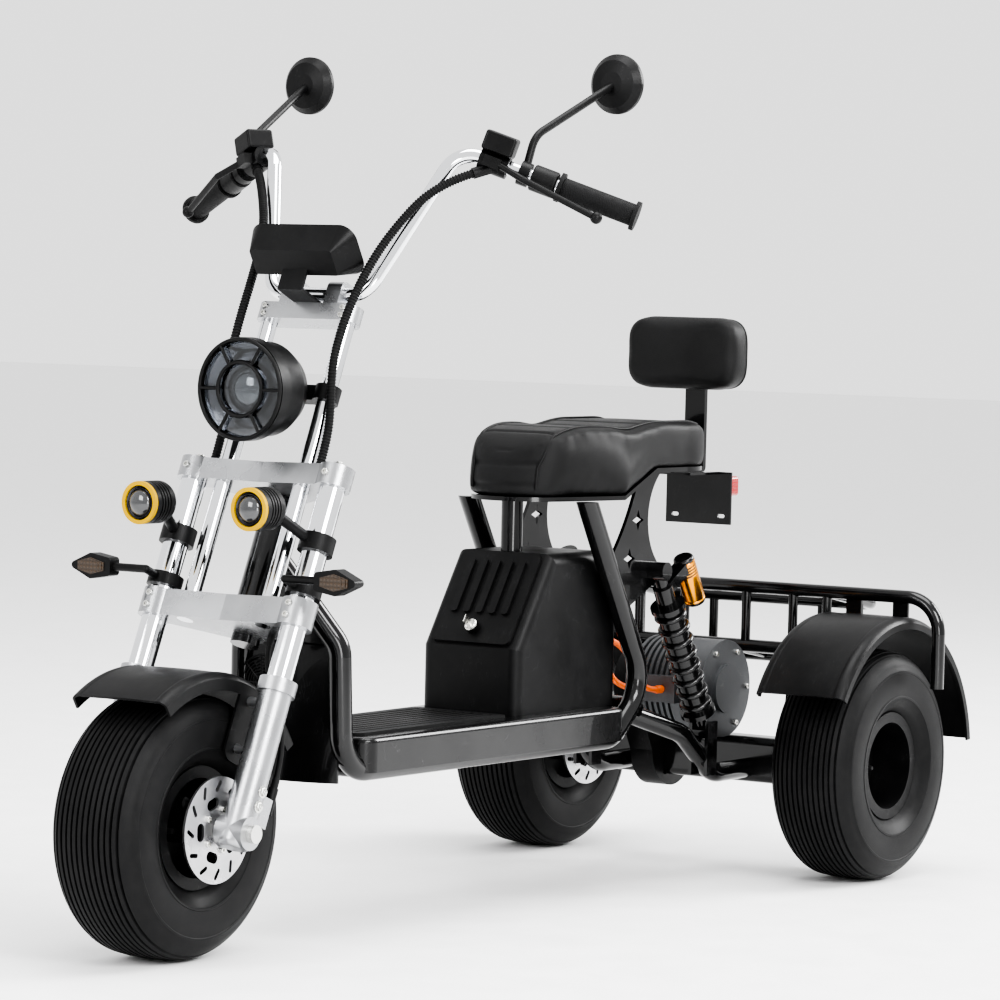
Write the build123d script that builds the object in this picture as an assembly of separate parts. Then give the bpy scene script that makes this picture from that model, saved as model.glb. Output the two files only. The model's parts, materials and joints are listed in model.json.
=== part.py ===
"""Electric three-wheeled trike, modelled piece by piece at its real size in millimetres.

+X points forward, +Y to the rider's left and +Z up, with the ground at z = 0. Places are worked out
with x = 0 at the front axle. At the end every piece moves along X by one amount, so that the origin
lies on the ground under the middle of the trike's length.

The fork and all that turns with it are modelled in the fork's own directions, upright and with the
front axle at the origin: forward of the legs, to the left, and up along the legs.
"""
from build123d import *
import os
from math import atan2, cos, degrees, hypot, radians, sin, tan

# Fits between pieces
seat_gap = 0.1
running_gap = 0.05

# Stance
wheelbase = 1452
rear_track = 624
rake = 23.7

# Tyres and rims
tyre_radius = 190.5
tyre_width = 150
tread_half_width = 37
tread_crown = 2.5
shoulder_drop = 20
shoulder_inset = 8
bead_radius = 76
flange_radius = 88
flange_thickness = 4
rim_width = 112
rim_wall = 5
wheel_disc_thickness = 8
rim_hole_count = 5
rim_hole_radius = 9
rim_dish = 18
lug_count = 4
lug_circle_radius = 30
lug_radius = 8
lug_height = 10
lug_margin = 3

# Brakes
front_disc_radius = 76
front_disc_y = 89
rear_disc_radius = 78
rear_disc_inset = 92
brake_disc_thickness = 4
disc_slot_count = 12
disc_window_count = 5
caliper_depth = 44
caliper_width = 34
caliper_length = 62
caliper_mouth = 14
front_caliper_angle = 143
rear_caliper_angle = 130
caliper_plate_thickness = 6

# Front axle and fork legs, heights measured up the legs from the axle
front_axle_radius = 8
front_hub_radius = 24
front_hub_half = 84
axle_nut_radius = 13
axle_nut_height = 10
leg_half_spacing = 125
stanchion_radius = 19
slider_radius = 24
slider_low = -24
slider_top = 226
slider_bore_low = 110
seal_radius = 28
seal_height = 20
riser_half_spacing = 70
riser_radius = 12.5

# Yokes and steering stem
yoke_offset = 60
clamp_wall = 7
lower_yoke_low = 306
lower_yoke_high = 346
mid_yoke_low = 520
mid_yoke_high = 552
top_yoke_low = 776
top_yoke_high = 802
stem_radius = 15
stem_eye_wall = 11
stem_nut_radius = 21
stem_nut_height = 12
head_tube_radius = 29
bearing_gap = 1

# Handlebar and what is on it
bar_radius = 11
bar_forward = -4
bar_base_height = 22
bar_base_half = 84
bar_bend_half = 168
bar_rise = 246
bar_lean = -16
bar_bend_radius = 42
grip_back = 140
grip_half_reach = 402
grip_drop = 38
grip_length = 118
grip_radius = 16.5
grip_flange_radius = 22
grip_flange_width = 6
bar_clamp_half_spacing = 40
bar_clamp_width = 26
bar_clamp_depth = 36
master_start = 34
master_length = 44
switch_length = 38
control_radius = 18
tank_height = 30
tank_depth = 44
tank_width = 48
lever_radius = 5
lever_ball_radius = 9
lever_spread = 46
lever_drop = 22
lever_reach = 196
gland_length = 30
mirror_start = 96
mirror_clamp_length = 16
mirror_stem_rise = 62
mirror_reach = (-122, 29, 146)
mirror_bend_radius = 50
mirror_stalk_radius = 6
mirror_radius = 45
mirror_depth = 20
display_width = 188
display_height = 82
display_depth = 42
display_taper = 26
display_tilt = 30
display_forward = 60
display_rise = 56
display_stay_width = 44

# Lamps on the fork
headlight_radius = 75
headlight_face_x = -152
headlight_z = 806
headlight_depth = 98
headlight_bezel = 22
headlight_back_radius = 40
headlight_wall = 6
guard_bar_radius = 3
guard_inner_ring = 39
guard_bar_count = 6
fog_radius = 31
fog_forward = 134
fog_half_spacing = 98
fog_depth = 50
fog_ring_width = 6
fog_ring_depth = 6
fog_fin_count = 4
fog_arm_radius = 8
signal_lift = 16
signal_forward = 50
signal_reach = 59
signal_stem_radius = 6
signal_thickness = 22
signal_length = 78
signal_width = 38

# Front mudguard
front_guard_radius = 222
front_guard_width = 168
front_guard_skirt = 26
front_guard_front = 58
front_guard_rear = 150
guard_wall = 4
guard_stay_width = 50
guard_stay_low = 100
guard_lug_radius = 7

# Main frame
frame_tube_radius = 17
neck_half_width = 14
neck_inset = 12
neck_drop = 130
shield_x = -288
shield_half_width = 88
deck_tube_half_width = 108
seat_tube_half_width = 112
deck_low = 232
deck_top = 298
deck_rear_x = -1006
deck_wall = 4
deck_skirt = 52
deck_corner = 26
deck_rib_count = 4
deck_rib_thickness = 6
bulge_x = -1092
bulge_z = 330
seat_tube_x = -907
cross_tube_radius = 12
shield_wall = 4
shield_arch = 22
speaker_y = -46
speaker_z = 372
speaker_radius = 42
mat_thickness = 4
mat_groove_count = 9
mat_margin = 20

# Battery box
box_front_x = -756
box_half_width = 91
box_shoulder_z = 402
box_top_front_x = -850
box_top_z = 546
box_top_rear_x = -1000
box_rear_shoulder_z = 476
box_rear_x = -1046
box_wall = 4
box_corner = 18
lid_thickness = 6
lid_margin = 8
lid_edge = 4
lid_rib_count = 5
lid_rib_height = 5
lid_frame = 15
lock_radius = 11
lock_height = 10
battery_height = 170
battery_clearance = 20

# Seat and backrest
seat_front_x = -814
seat_length = 500
seat_pan_z = 634
seat_pan_rise = 42
seat_pan_thickness = 7
seat_height = 112
seat_half_width = 116
seat_nose_half_width = 78
seat_post_setback = 54
seat_post_radius = 17
backrest_setback = 72
backrest_low = 798
backrest_high = 918
backrest_half_width = 108
backrest_thickness = 58
backrest_corner = 34
backrest_post_width = 38
backrest_post_thickness = 9
plate_thickness = 6
plate_strip = 72
star_radius = 17
plate_bracket_x = -1436
plate_bracket_height = 88
plate_bracket_half = 63
plate_slot_spacing = 90
plate_slot_length = 14
plate_slot_width = 6.4
tail_lamp_height = 34
tail_lamp_depth = 30

# Rear axle, swing arm and drive
axle_beam_half = 200
axle_beam_height = 76
axle_beam_depth = 56
axle_beam_drop = 8
rear_stub_radius = 13
stub_nut_radius = 18
stub_nut_height = 12
stub_play = 2
swing_tube_radius = 16
swing_drop = 22
pivot_x = -1080
pivot_z = 290
pivot_sleeve_wall = 7
pivot_sleeve_length = 34
motor_radius = 81
motor_x = -1390
motor_z = 302
motor_length = 136
motor_right_y = -48
motor_fin_count = 7
terminal_depth = 30
terminal_width = 96
terminal_height = 44
gearbox_width = 44
gearbox_motor_radius = 62
gearbox_axle_radius = 66
cable_radius = 5
cable_half_spacing = 22
cable_start_z = 400

# Shocks
shock_y = 112
shock_top_x = -1128
shock_top_z = 510
shock_foot_x = -1283
shock_foot_z = 242
shock_eye_radius = 15
shock_eye_width = 24
shock_pin_radius = 8
shock_rod_radius = 9
shock_body_radius = 16
shock_coil_radius = 27
shock_wire_radius = 5
shock_coil_count = 8
shock_collar_radius = 29
shock_collar_height = 8
shock_coil_top = 72
shock_coil_foot = 42
shock_cheek_thickness = 6
reservoir_radius = 17
reservoir_length = 88
reservoir_offset = 76

# Rear mudguards and rack
rear_guard_radius = 246
rear_guard_width = 164
rear_guard_skirt = 20
rear_guard_front = 31
rear_guard_rear = 173
rack_x = -1500
rack_tube_radius = 11
rack_top_z = 466
rack_floor_z = 366
rack_half_width = 427
rack_leg_z = 318
rack_bend_radius = 58
rack_post_radius = 8
rack_strut_radius = 10
rack_strut_y = 160
rack_tab_half_spacing = 44
rack_tab_width = 28
rack_tab_thickness = 5
tray_half_width = 216
tray_length = 176
tray_tilt = 10
tray_bend_radius = 36
tray_rail_radius = 10
tray_slat_radius = 5
tray_slat_count = 5

# Cables on the fork
conduit_radius = 7
hose_radius = 4

# Places that follow from the sizes above
axle_height = tyre_radius
rear_x = -wheelbase
wheel_half_track = rear_track / 2
tray_rear_x = rack_x - tray_length
tray_drop = tray_length * tan(radians(tray_tilt))
deck_tube_z = deck_low + frame_tube_radius
bar_z = top_yoke_high + bar_base_height
beam_z = axle_height - axle_beam_drop
rear_hub_y = wheel_half_track - rim_dish + wheel_disc_thickness
rear_disc_y = wheel_half_track - rear_disc_inset
fog_height = (lower_yoke_high + mid_yoke_low) / 2
signal_height = lower_yoke_high + signal_lift
seat_rear_x = seat_front_x - seat_length
seat_top_z = seat_pan_z + seat_height
seat_pan_rear_z = seat_pan_z + seat_pan_rise
seat_kink_front_x = seat_front_x - 0.43 * seat_length
seat_kink_rear_x = seat_front_x - 0.62 * seat_length
seat_post_x = seat_front_x - seat_post_setback
backrest_x = seat_rear_x - backrest_setback
plate_y = shock_y - shock_eye_width / 2 - plate_thickness / 2 - seat_gap
origin_shift = (abs(tray_rear_x) + tray_rail_radius - tyre_radius) / 2
fork_frame = Location((0, 0, axle_height)) * Rotation(0, -rake, 0)
upright = Vector(sin(radians(rake)), 0, cos(radians(rake)))
ahead = Vector(cos(radians(rake)), 0, -sin(radians(rake)))
neck = (fork_frame * Pos(-yoke_offset, 0, fog_height)).position
sides = (1, -1)
side_names = ("left", "right")

nodes = {}


def joined(pieces):
    """One piece from a list of pieces."""
    whole = pieces[0]
    for piece in pieces[1:]:
        whole += piece
    return whole


def both_sides(piece):
    """A piece on the left together with its mirror image on the right."""
    return piece + mirror(piece, Plane.XZ)


def on_side(piece, side):
    """A piece modelled on the left, or its mirror image when side is -1."""
    return piece if side == 1 else mirror(piece, Plane.XZ)


def mirrored(point):
    """The mirror image of a point on the left."""
    return (point[0], -point[1], point[2])


def upright_bar(radius, low, high, x=0, y=0):
    """A round bar along Z between two heights."""
    return Pos(x, y, (low + high) / 2) * Cylinder(radius, high - low)


def cross_bar(radius, y_from, y_to, x=0, z=0):
    """A round bar along Y between two distances from the middle."""
    return Pos(x, (y_from + y_to) / 2, z) * Rot(90, 0, 0) * Cylinder(radius, abs(y_to - y_from))


def rod(start, end, radius):
    """A straight round bar between two points."""
    axis = Vector(*end) - Vector(*start)
    plane = Plane(origin=tuple(start), z_dir=axis.normalized())
    return plane * Pos(0, 0, axis.length / 2) * Cylinder(radius, axis.length)


def bent_tube(points, bends, radius):
    """A round bar along straight runs joined by arcs, with one bend radius for each inner point."""
    path = FilletPolyline(*points, radius=bends)
    return sweep(Plane(origin=path @ 0, z_dir=path % 0) * Circle(radius), path=path)


def cord(name, points, radius):
    """A cable along hand-placed points, each bend as wide as its two runs allow."""
    bends = []
    for before, here, after in zip(points, points[1:], points[2:]):
        arriving = Vector(*here) - Vector(*before)
        leaving = Vector(*after) - Vector(*here)
        half_turn = radians(arriving.get_angle(leaving)) / 2
        bends.append(0.45 * min(arriving.length, leaving.length) / tan(half_turn))
    print(name, "bend radii", [round(bend) for bend in bends])
    return bent_tube(points, bends, radius)


def turned(points):
    """A closed outline of radius and height, turned about Z."""
    return revolve(Plane.XZ * make_face(Polyline(*points, close=True)), axis=Axis.Z)


def tyre():
    """A low tubeless tyre with a rounded shoulder, seated on the rim's bead seats."""
    bead_half = rim_width / 2 - flange_thickness
    half = tyre_width / 2
    shoulder_radius = tyre_radius - shoulder_drop
    shoulder_half = half - shoulder_inset
    edge_radius = tyre_radius - tread_crown
    bulge_radius = (flange_radius + shoulder_radius) / 2
    outline = [
        ThreePointArc((edge_radius, tread_half_width), (tyre_radius, 0), (edge_radius, -tread_half_width)),
        Line((bead_radius, bead_half), (bead_radius, -bead_half)),
    ]
    for side in sides:
        bead = (flange_radius, side * bead_half)
        bulge = (bulge_radius, side * half)
        shoulder = (shoulder_radius, side * shoulder_half)
        knee = (shoulder_radius + shoulder_drop * 0.62, side * (shoulder_half - shoulder_inset * 1.5))
        edge = (edge_radius, side * tread_half_width)
        outline.append(Line((bead_radius, side * bead_half), bead))
        outline.append(ThreePointArc(bead, bulge, shoulder))
        outline.append(ThreePointArc(shoulder, knee, edge))
    return revolve(make_face(outline), axis=Axis.Y)


def rim(disc_y, hub_radius, hub_from, hub_to, bore_radius):
    """A steel rim: barrel with flanges, a disc with round holes, and a hub with its bore."""
    half = rim_width / 2
    inner_radius = bead_radius - rim_wall
    barrel = cross_bar(bead_radius, -half, half)
    for side in sides:
        barrel += cross_bar(flange_radius, side * half, side * (half - flange_thickness))
    barrel -= cross_bar(inner_radius, -half, half)
    disc = cross_bar(inner_radius, disc_y - wheel_disc_thickness / 2, disc_y + wheel_disc_thickness / 2)
    for place in PolarLocations((inner_radius + hub_radius) / 2, rim_hole_count):
        disc -= Rot(90, 0, 0) * place * Cylinder(rim_hole_radius, 4 * rim_width)
    hub = cross_bar(hub_radius, hub_from, hub_to)
    return barrel + disc + hub - cross_bar(bore_radius, 2 * hub_from, 2 * rim_width)


def brake_disc(radius, y, bore_radius):
    """A brake disc with slanted slots in its rubbing face and windows between its arms."""
    disc = cross_bar(radius, y - brake_disc_thickness / 2, y + brake_disc_thickness / 2)
    slot = extrude(Rot(0, 0, 35) * SlotOverall(radius * 0.24, radius * 0.08), brake_disc_thickness, both=True)
    window = extrude(SlotOverall(radius * 0.34, radius * 0.2), brake_disc_thickness, both=True)
    face = Pos(0, y, 0) * Rot(90, 0, 0)
    for place in PolarLocations(radius * 0.82, disc_slot_count):
        disc -= face * place * slot
    for place in PolarLocations(radius * 0.52, disc_window_count):
        disc -= face * place * Rot(0, 0, 90) * window
    return disc - cross_bar(bore_radius, y - brake_disc_thickness, y + brake_disc_thickness)


def caliper(disc_y, disc_radius, angle):
    """A two-half brake caliper over a disc's edge, at an angle above the forward direction."""
    body = Box(caliper_depth, caliper_width, caliper_length)
    body = fillet(body.edges().filter_by(Axis.Y), caliper_depth / 4)
    body -= Pos(-caliper_depth / 3, 0, 0) * Box(caliper_depth, caliper_mouth, 2 * caliper_length)
    return Pos(0, disc_y, 0) * Rot(0, -angle, 0) * Pos(disc_radius, 0, 0) * body


def guard_section(radius, half, skirt):
    """A mudguard's U-shaped section: an arched crown with a rounded shoulder and skirt on each edge."""
    shoulder = 2.4 * guard_wall
    low = radius - skirt
    outline = []
    for level in (0, guard_wall):
        crown = radius - level
        outer = half - level
        edge = radius - shoulder
        flat = half - 2 * shoulder
        for side in sides:
            bend = (edge + 0.72 * (crown - 1 - edge), side * (outer - 0.28 * (outer - flat)))
            outline.append(Line((low, side * outer), (edge, side * outer)))
            outline.append(ThreePointArc((edge, side * outer), bend, (crown - 1, side * flat)))
        outline.append(ThreePointArc((crown - 1, flat), (crown, 0), (crown - 1, -flat)))
    for side in sides:
        outline.append(Line((low, side * half), (low, side * (half - guard_wall))))
    return make_face(outline)


def wheel_arch(section, front_angle, rear_angle):
    """A section carried round the wheel, between two angles above the forward direction."""
    return Rot(0, -rear_angle, 0) * revolve(section, axis=Axis.Y, revolution_arc=rear_angle - front_angle)


def add_front_wheel():
    """Front tyre, rim with its hub, and the brake disc on the left."""
    place = Pos(0, 0, axle_height)
    hub_end = front_disc_y - brake_disc_thickness / 2
    wheel = rim(0, front_hub_radius, -front_hub_half, hub_end, front_axle_radius + running_gap)
    nodes["front_tyre"] = place * tyre()
    nodes["front_rim"] = place * wheel
    nodes["front_brake_disc"] = place * brake_disc(front_disc_radius, front_disc_y, front_axle_radius * 1.5)


def add_rear_wheels():
    """Rear tyres, dished rims with lug nuts, and the brake discs on their inner sides."""
    hub_radius = lug_circle_radius + lug_radius + lug_margin
    hub_face = wheel_disc_thickness - rim_dish
    hub_inner = brake_disc_thickness / 2 - rear_disc_inset
    wheel = rim(-rim_dish, hub_radius, hub_inner, hub_face, rear_stub_radius + running_gap)
    nut = Pos(0, 0, lug_height / 2) * Cylinder(lug_radius, lug_height)
    for place in PolarLocations(lug_circle_radius, lug_count):
        wheel += Pos(0, hub_face, 0) * Rot(-90, 0, 0) * place * nut
    disc = brake_disc(rear_disc_radius, -rear_disc_inset, rear_stub_radius * 1.5)
    for side, name in zip(sides, side_names):
        place = Pos(rear_x, side * wheel_half_track, axle_height)
        nodes[f"rear_{name}_tyre"] = place * tyre()
        nodes[f"rear_{name}_rim"] = place * on_side(wheel, side)
        nodes[f"rear_{name}_brake_disc"] = place * on_side(disc, side)


def left_slider():
    """The left fork slider: axle eye, oil seal and the lugs for the mudguard."""
    y = leg_half_spacing
    body = upright_bar(slider_radius, slider_low, slider_top, 0, y)
    body = fillet(body.edges().group_by(Axis.Z)[0], slider_radius * 0.4)
    body += upright_bar(seal_radius, slider_top - seal_height, slider_top, 0, y)
    body += cross_bar(slider_radius, y - slider_radius, y + slider_radius)
    lug_y = front_guard_width / 2 + seat_gap
    for height in (guard_stay_low + 3 * guard_lug_radius, slider_top - seal_height - 2 * guard_lug_radius):
        body += cross_bar(guard_lug_radius, lug_y, y, 0, height)
    return body


def caliper_lug():
    """The lug behind the left slider that the front caliper is bolted to."""
    face_y = front_disc_y + caliper_width / 2 + seat_gap
    outer_y = leg_half_spacing
    reach = -front_disc_radius * cos(radians(front_caliper_angle))
    height = front_disc_radius * sin(radians(front_caliper_angle))
    lug = Box(reach, outer_y - face_y, caliper_length * 0.7)
    return Pos(-reach / 2, (face_y + outer_y) / 2, height) * lug


def yoke(low, high):
    """A cast yoke that clamps both legs and both risers, with the stem's eye behind them."""
    leg_eye = stanchion_radius + clamp_wall
    stem_eye = stem_radius + stem_eye_wall
    outline = Pos(-yoke_offset, 0) * Circle(stem_eye)
    for side in sides:
        outline += Pos(0, side * leg_half_spacing) * Circle(leg_eye)
    web = Polyline(
        (leg_eye * 0.7, leg_half_spacing),
        (leg_eye * 0.45, 0),
        (leg_eye * 0.7, -leg_half_spacing),
        (-leg_eye * 0.7, -leg_half_spacing),
        (-yoke_offset - stem_eye * 0.6, -stem_eye * 0.8),
        (-yoke_offset - stem_eye * 0.6, stem_eye * 0.8),
        (-leg_eye * 0.7, leg_half_spacing),
        close=True,
    )
    body = Pos(0, 0, low) * extrude(outline + make_face(web), high - low)
    holes = [upright_bar(stem_radius + seat_gap, low - 1, high + 1, -yoke_offset)]
    for side in sides:
        holes.append(upright_bar(stanchion_radius + seat_gap, low - 1, high + 1, 0, side * leg_half_spacing))
        holes.append(upright_bar(riser_radius + seat_gap, low - 1, high + 1, 0, side * riser_half_spacing))
    for hole in holes:
        body -= hole
    return body


def top_yoke():
    """The plate across the riser tops, with the handlebar's two clamps on it."""
    eye = riser_radius + clamp_wall
    outline = Rot(0, 0, 90) * SlotCenterToCenter(2 * riser_half_spacing, 2 * eye)
    plate = Pos(0, 0, top_yoke_low) * extrude(outline, top_yoke_high - top_yoke_low)
    clamp_height = bar_base_height + bar_radius + clamp_wall
    for side in sides:
        y = side * riser_half_spacing
        plate -= upright_bar(riser_radius + seat_gap, top_yoke_low - 1, top_yoke_high + 1, 0, y)
        clamp = Box(bar_clamp_depth, bar_clamp_width, clamp_height)
        clamp = fillet(clamp.edges().filter_by(Axis.Y).group_by(Axis.Z)[-1], bar_clamp_depth / 3)
        plate += Pos(bar_forward, side * bar_clamp_half_spacing, top_yoke_high + clamp_height / 2) * clamp
    return plate - cross_bar(bar_radius + seat_gap, -bar_base_half, bar_base_half, bar_forward, bar_z)


def front_caliper():
    """The front brake caliper with the socket that takes its hose."""
    x, y, top = hose_foot()
    socket = upright_bar(1.75 * hose_radius, top - 10 * hose_radius, top - seat_gap, x, y)
    return caliper(front_disc_y, front_disc_radius, front_caliper_angle) + socket


def hose_foot():
    """The point where the brake hose meets the front caliper's socket."""
    reach = front_disc_radius + caliper_depth * 0.47
    angle = radians(front_caliper_angle)
    y = front_disc_y + caliper_width / 2 + hose_radius / 2
    return (reach * cos(angle), y, reach * sin(angle) + 8 * hose_radius)


def add_fork():
    """Front axle, sliders, stanchions, risers, the three yokes and the steering stem."""
    axle_end = leg_half_spacing + slider_radius
    nut_end = axle_end + axle_nut_height
    axle = cross_bar(front_axle_radius, -nut_end, nut_end)
    for side in sides:
        axle += cross_bar(axle_nut_radius, side * (axle_end + seat_gap), side * nut_end)
    stem_low = lower_yoke_low - stem_nut_height
    stem_high = mid_yoke_high + stem_nut_height
    stem = upright_bar(stem_radius, stem_low, stem_high, -yoke_offset)
    stem += upright_bar(stem_nut_radius, stem_low, lower_yoke_low - seat_gap, -yoke_offset)
    stem += upright_bar(stem_nut_radius, mid_yoke_high + seat_gap, stem_high, -yoke_offset)
    leg = upright_bar(stanchion_radius, slider_bore_low + seat_gap, mid_yoke_high, 0, leg_half_spacing)
    riser = upright_bar(riser_radius, lower_yoke_low, top_yoke_high, 0, riser_half_spacing)
    sliders = left_slider() + caliper_lug() + mirror(left_slider(), Plane.XZ)
    sliders -= cross_bar(front_axle_radius + seat_gap, -2 * axle_end, 2 * axle_end)
    for side in sides:
        y = side * leg_half_spacing
        sliders -= upright_bar(stanchion_radius + seat_gap, slider_bore_low, slider_top + 1, 0, y)
    pieces = {
        "front_axle": axle,
        "fork_sliders": sliders,
        "fork_stanchions": both_sides(leg),
        "fork_risers": both_sides(riser),
        "lower_yoke": yoke(lower_yoke_low, lower_yoke_high),
        "mid_yoke": yoke(mid_yoke_low, mid_yoke_high),
        "top_yoke": top_yoke(),
        "steering_stem": stem,
        "front_caliper": front_caliper(),
    }
    for name, piece in pieces.items():
        nodes[name] = fork_frame * piece


def bar_point(distance):
    """A point on the left grip's straight run, at a distance from the bend."""
    bend = Vector(bar_forward + bar_lean, bar_bend_half, bar_z + bar_rise)
    end = Vector(bar_forward + bar_lean - grip_back, grip_half_reach, bar_z + bar_rise - grip_drop)
    return bend + (end - bend).normalized() * distance


def bar_run_length():
    """The length of the grip's straight run, from its bend to the bar's end."""
    return hypot(grip_back, grip_half_reach - bar_bend_half, grip_drop)


def bar_plane(distance):
    """A plane across the bar's grip run, with its X up and its Y forward."""
    run = (bar_point(1) - bar_point(0)).normalized()
    level = upright - run * upright.dot(run)
    return Plane(origin=tuple(bar_point(distance)), x_dir=level.normalized(), z_dir=run)


def left_grip():
    """The left rubber grip with its flanges and closed end."""
    end = grip_length + grip_flange_width
    outline = [
        (0, 0),
        (grip_flange_radius, 0),
        (grip_flange_radius, grip_flange_width),
        (grip_radius, grip_flange_width),
        (grip_radius, grip_length),
        (grip_flange_radius, grip_length),
        (grip_flange_radius, end),
        (0, end),
    ]
    bore = upright_bar(bar_radius + seat_gap, -1, grip_length + seat_gap)
    return bar_plane(bar_run_length() - grip_length) * (turned(outline) - bore)


def gland_point(distance):
    """A point on the line that the conduit follows away from the left master cylinder."""
    start = Vector(-control_radius * 0.45, control_radius / 3, master_length / 2)
    return start + Vector(-0.585, 0.344, -0.73).normalized() * distance


def left_controls():
    """The left master cylinder with its reservoir and ball-ended lever, and the switch pod."""
    middle = master_length / 2
    master = upright_bar(control_radius, 0, master_length)
    tank = fillet(Box(tank_height, tank_depth, tank_width).edges(), tank_height / 7)
    master += Pos(control_radius + tank_height * 0.36, tank_depth / 11, middle) * tank
    bracket = Box(control_radius * 0.9, control_radius * 1.5, master_length * 0.6)
    master += Pos(0, control_radius, middle) * bracket
    master += rod(gland_point(0), gland_point(gland_length), conduit_radius * 1.2)
    pivot = (0, control_radius * 1.4, master_length * 0.7)
    knee = (-lever_drop / 3, lever_spread, master_length * 1.7)
    tip = (-lever_drop, lever_spread * 0.87, lever_reach)
    master += rod(pivot, knee, lever_radius)
    master += rod(knee, tip, lever_radius)
    master += Pos(*knee) * Sphere(lever_radius)
    master += Pos(*tip) * Sphere(lever_ball_radius)
    master -= upright_bar(bar_radius + seat_gap, -master_length, 2 * master_length)
    pod = upright_bar(control_radius * 1.1, 0, switch_length)
    pod = fillet(pod.edges(), control_radius / 6)
    pod -= upright_bar(bar_radius + seat_gap, -switch_length, 2 * switch_length)
    pod_start = bar_run_length() - grip_length - switch_length - clamp_wall / 2
    return bar_plane(master_start) * master + bar_plane(pod_start) * pod


def left_mirror():
    """The left mirror: clamp on the bar, bent stalk and round shell that faces the rider."""
    foot = bar_point(mirror_start + mirror_clamp_length / 2)
    knee = foot + Vector(0, 0, mirror_stem_rise)
    head = knee + Vector(*mirror_reach)
    clamp = upright_bar(bar_radius + clamp_wall, 0, mirror_clamp_length)
    stalk = bent_tube([tuple(foot), tuple(knee), tuple(head)], [mirror_bend_radius], mirror_stalk_radius)
    shell = turned([
        (0, 0),
        (mirror_radius, 0),
        (mirror_radius, mirror_depth * 0.3),
        (mirror_radius * 0.8, mirror_depth * 0.8),
        (mirror_radius * 0.4, mirror_depth),
        (0, mirror_depth),
    ])
    facing = Plane(origin=tuple(head), x_dir=(0, 1, 0), z_dir=ahead)
    piece = bar_plane(mirror_start) * clamp + stalk + facing * Pos(0, 0, -mirror_depth / 2) * shell
    hole = upright_bar(bar_radius + seat_gap, -mirror_clamp_length, 2 * mirror_clamp_length)
    return piece - bar_plane(mirror_start) * hole


def display():
    """The instrument pod, tapered to the front, on its stay from the top yoke."""
    face = RectangleRounded(display_height, display_width, display_height * 0.3)
    turn = Rot(0, 90 + display_tilt + rake, 0)
    middle = Pos(display_forward, 0, top_yoke_high + display_rise)
    pod = middle * turn * Pos(0, 0, -display_depth / 2) * extrude(face, display_depth, taper=display_taper)
    near = (riser_radius + clamp_wall) / 2
    far = display_forward + guard_wall
    base = top_yoke_high + seat_gap
    foot = Pos((near + far) / 2, 0, base + guard_wall / 2) * Box(far - near, display_stay_width, guard_wall)
    stay = Box(guard_wall, display_stay_width, display_rise)
    return pod + foot + Pos(far - guard_wall / 2, 0, base + display_rise / 2) * stay


def add_handlebar():
    """The high handlebar with its grips, controls, mirrors and display."""
    start = (bar_forward, bar_base_half, bar_z)
    bend = tuple(bar_point(0))
    end = tuple(bar_point(bar_run_length()))
    points = [mirrored(end), mirrored(bend), mirrored(start), start, bend, end]
    nodes["handlebar"] = fork_frame * bent_tube(points, [bar_bend_radius] * 4, bar_radius)
    nodes["grips"] = fork_frame * both_sides(left_grip())
    nodes["brake_controls"] = fork_frame * both_sides(left_controls())
    nodes["mirrors"] = fork_frame * both_sides(left_mirror())
    nodes["display"] = fork_frame * display()


def headlight_shell():
    """The headlight's drum: bezel, plain side and domed back, hollow behind the glass."""
    drum = headlight_radius - headlight_wall
    rear = -headlight_depth
    shell = turned([
        (0, 0),
        (headlight_radius, 0),
        (headlight_radius, -headlight_bezel),
        (drum, -headlight_bezel - headlight_wall),
        (drum, rear * 0.62),
        (drum * 0.84, rear * 0.85),
        (headlight_back_radius, rear),
        (0, rear),
    ])
    return shell - upright_bar(drum, -headlight_bezel, 0)


def headlight_guard():
    """The guard over the headlight's glass: two rings joined by short bars."""
    outer = headlight_radius - guard_bar_radius
    guard = Torus(outer, guard_bar_radius) + Torus(guard_inner_ring, guard_bar_radius)
    for place in PolarLocations(guard_inner_ring, guard_bar_count, start_angle=30):
        bar = Rot(0, 90, 0) * upright_bar(guard_bar_radius * 0.8, 0, outer - guard_inner_ring)
        guard += place * bar
    return Pos(0, 0, guard_bar_radius + seat_gap) * guard


def lamp_bracket():
    """Clamps on the risers, joined by a cross bar with the headlight's stud."""
    back_x = headlight_face_x - headlight_depth - seat_gap
    height = (headlight_z - axle_height) * cos(radians(rake)) - back_x * sin(radians(rake))
    half = riser_radius + clamp_wall
    tall = half * 0.6
    bar = Pos(0, 0, height) * Box(half, 2 * riser_half_spacing, 2 * tall)
    for side in sides:
        bar += upright_bar(half, height - tall, height + tall, 0, side * riser_half_spacing)
    for side in sides:
        y = side * riser_half_spacing
        bar -= upright_bar(riser_radius + seat_gap, height - half, height + half, 0, y)
    stud = rod((back_x, 0, headlight_z), (back_x - half, 0, headlight_z), half * 0.8)
    return fork_frame * bar + stud


def fog_face():
    """The plane of the left fog lamp's face, with its Z pointing level and forward."""
    return Plane(origin=(fog_forward, fog_half_spacing, fog_height), x_dir=(0, 1, 0), z_dir=ahead)


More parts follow.
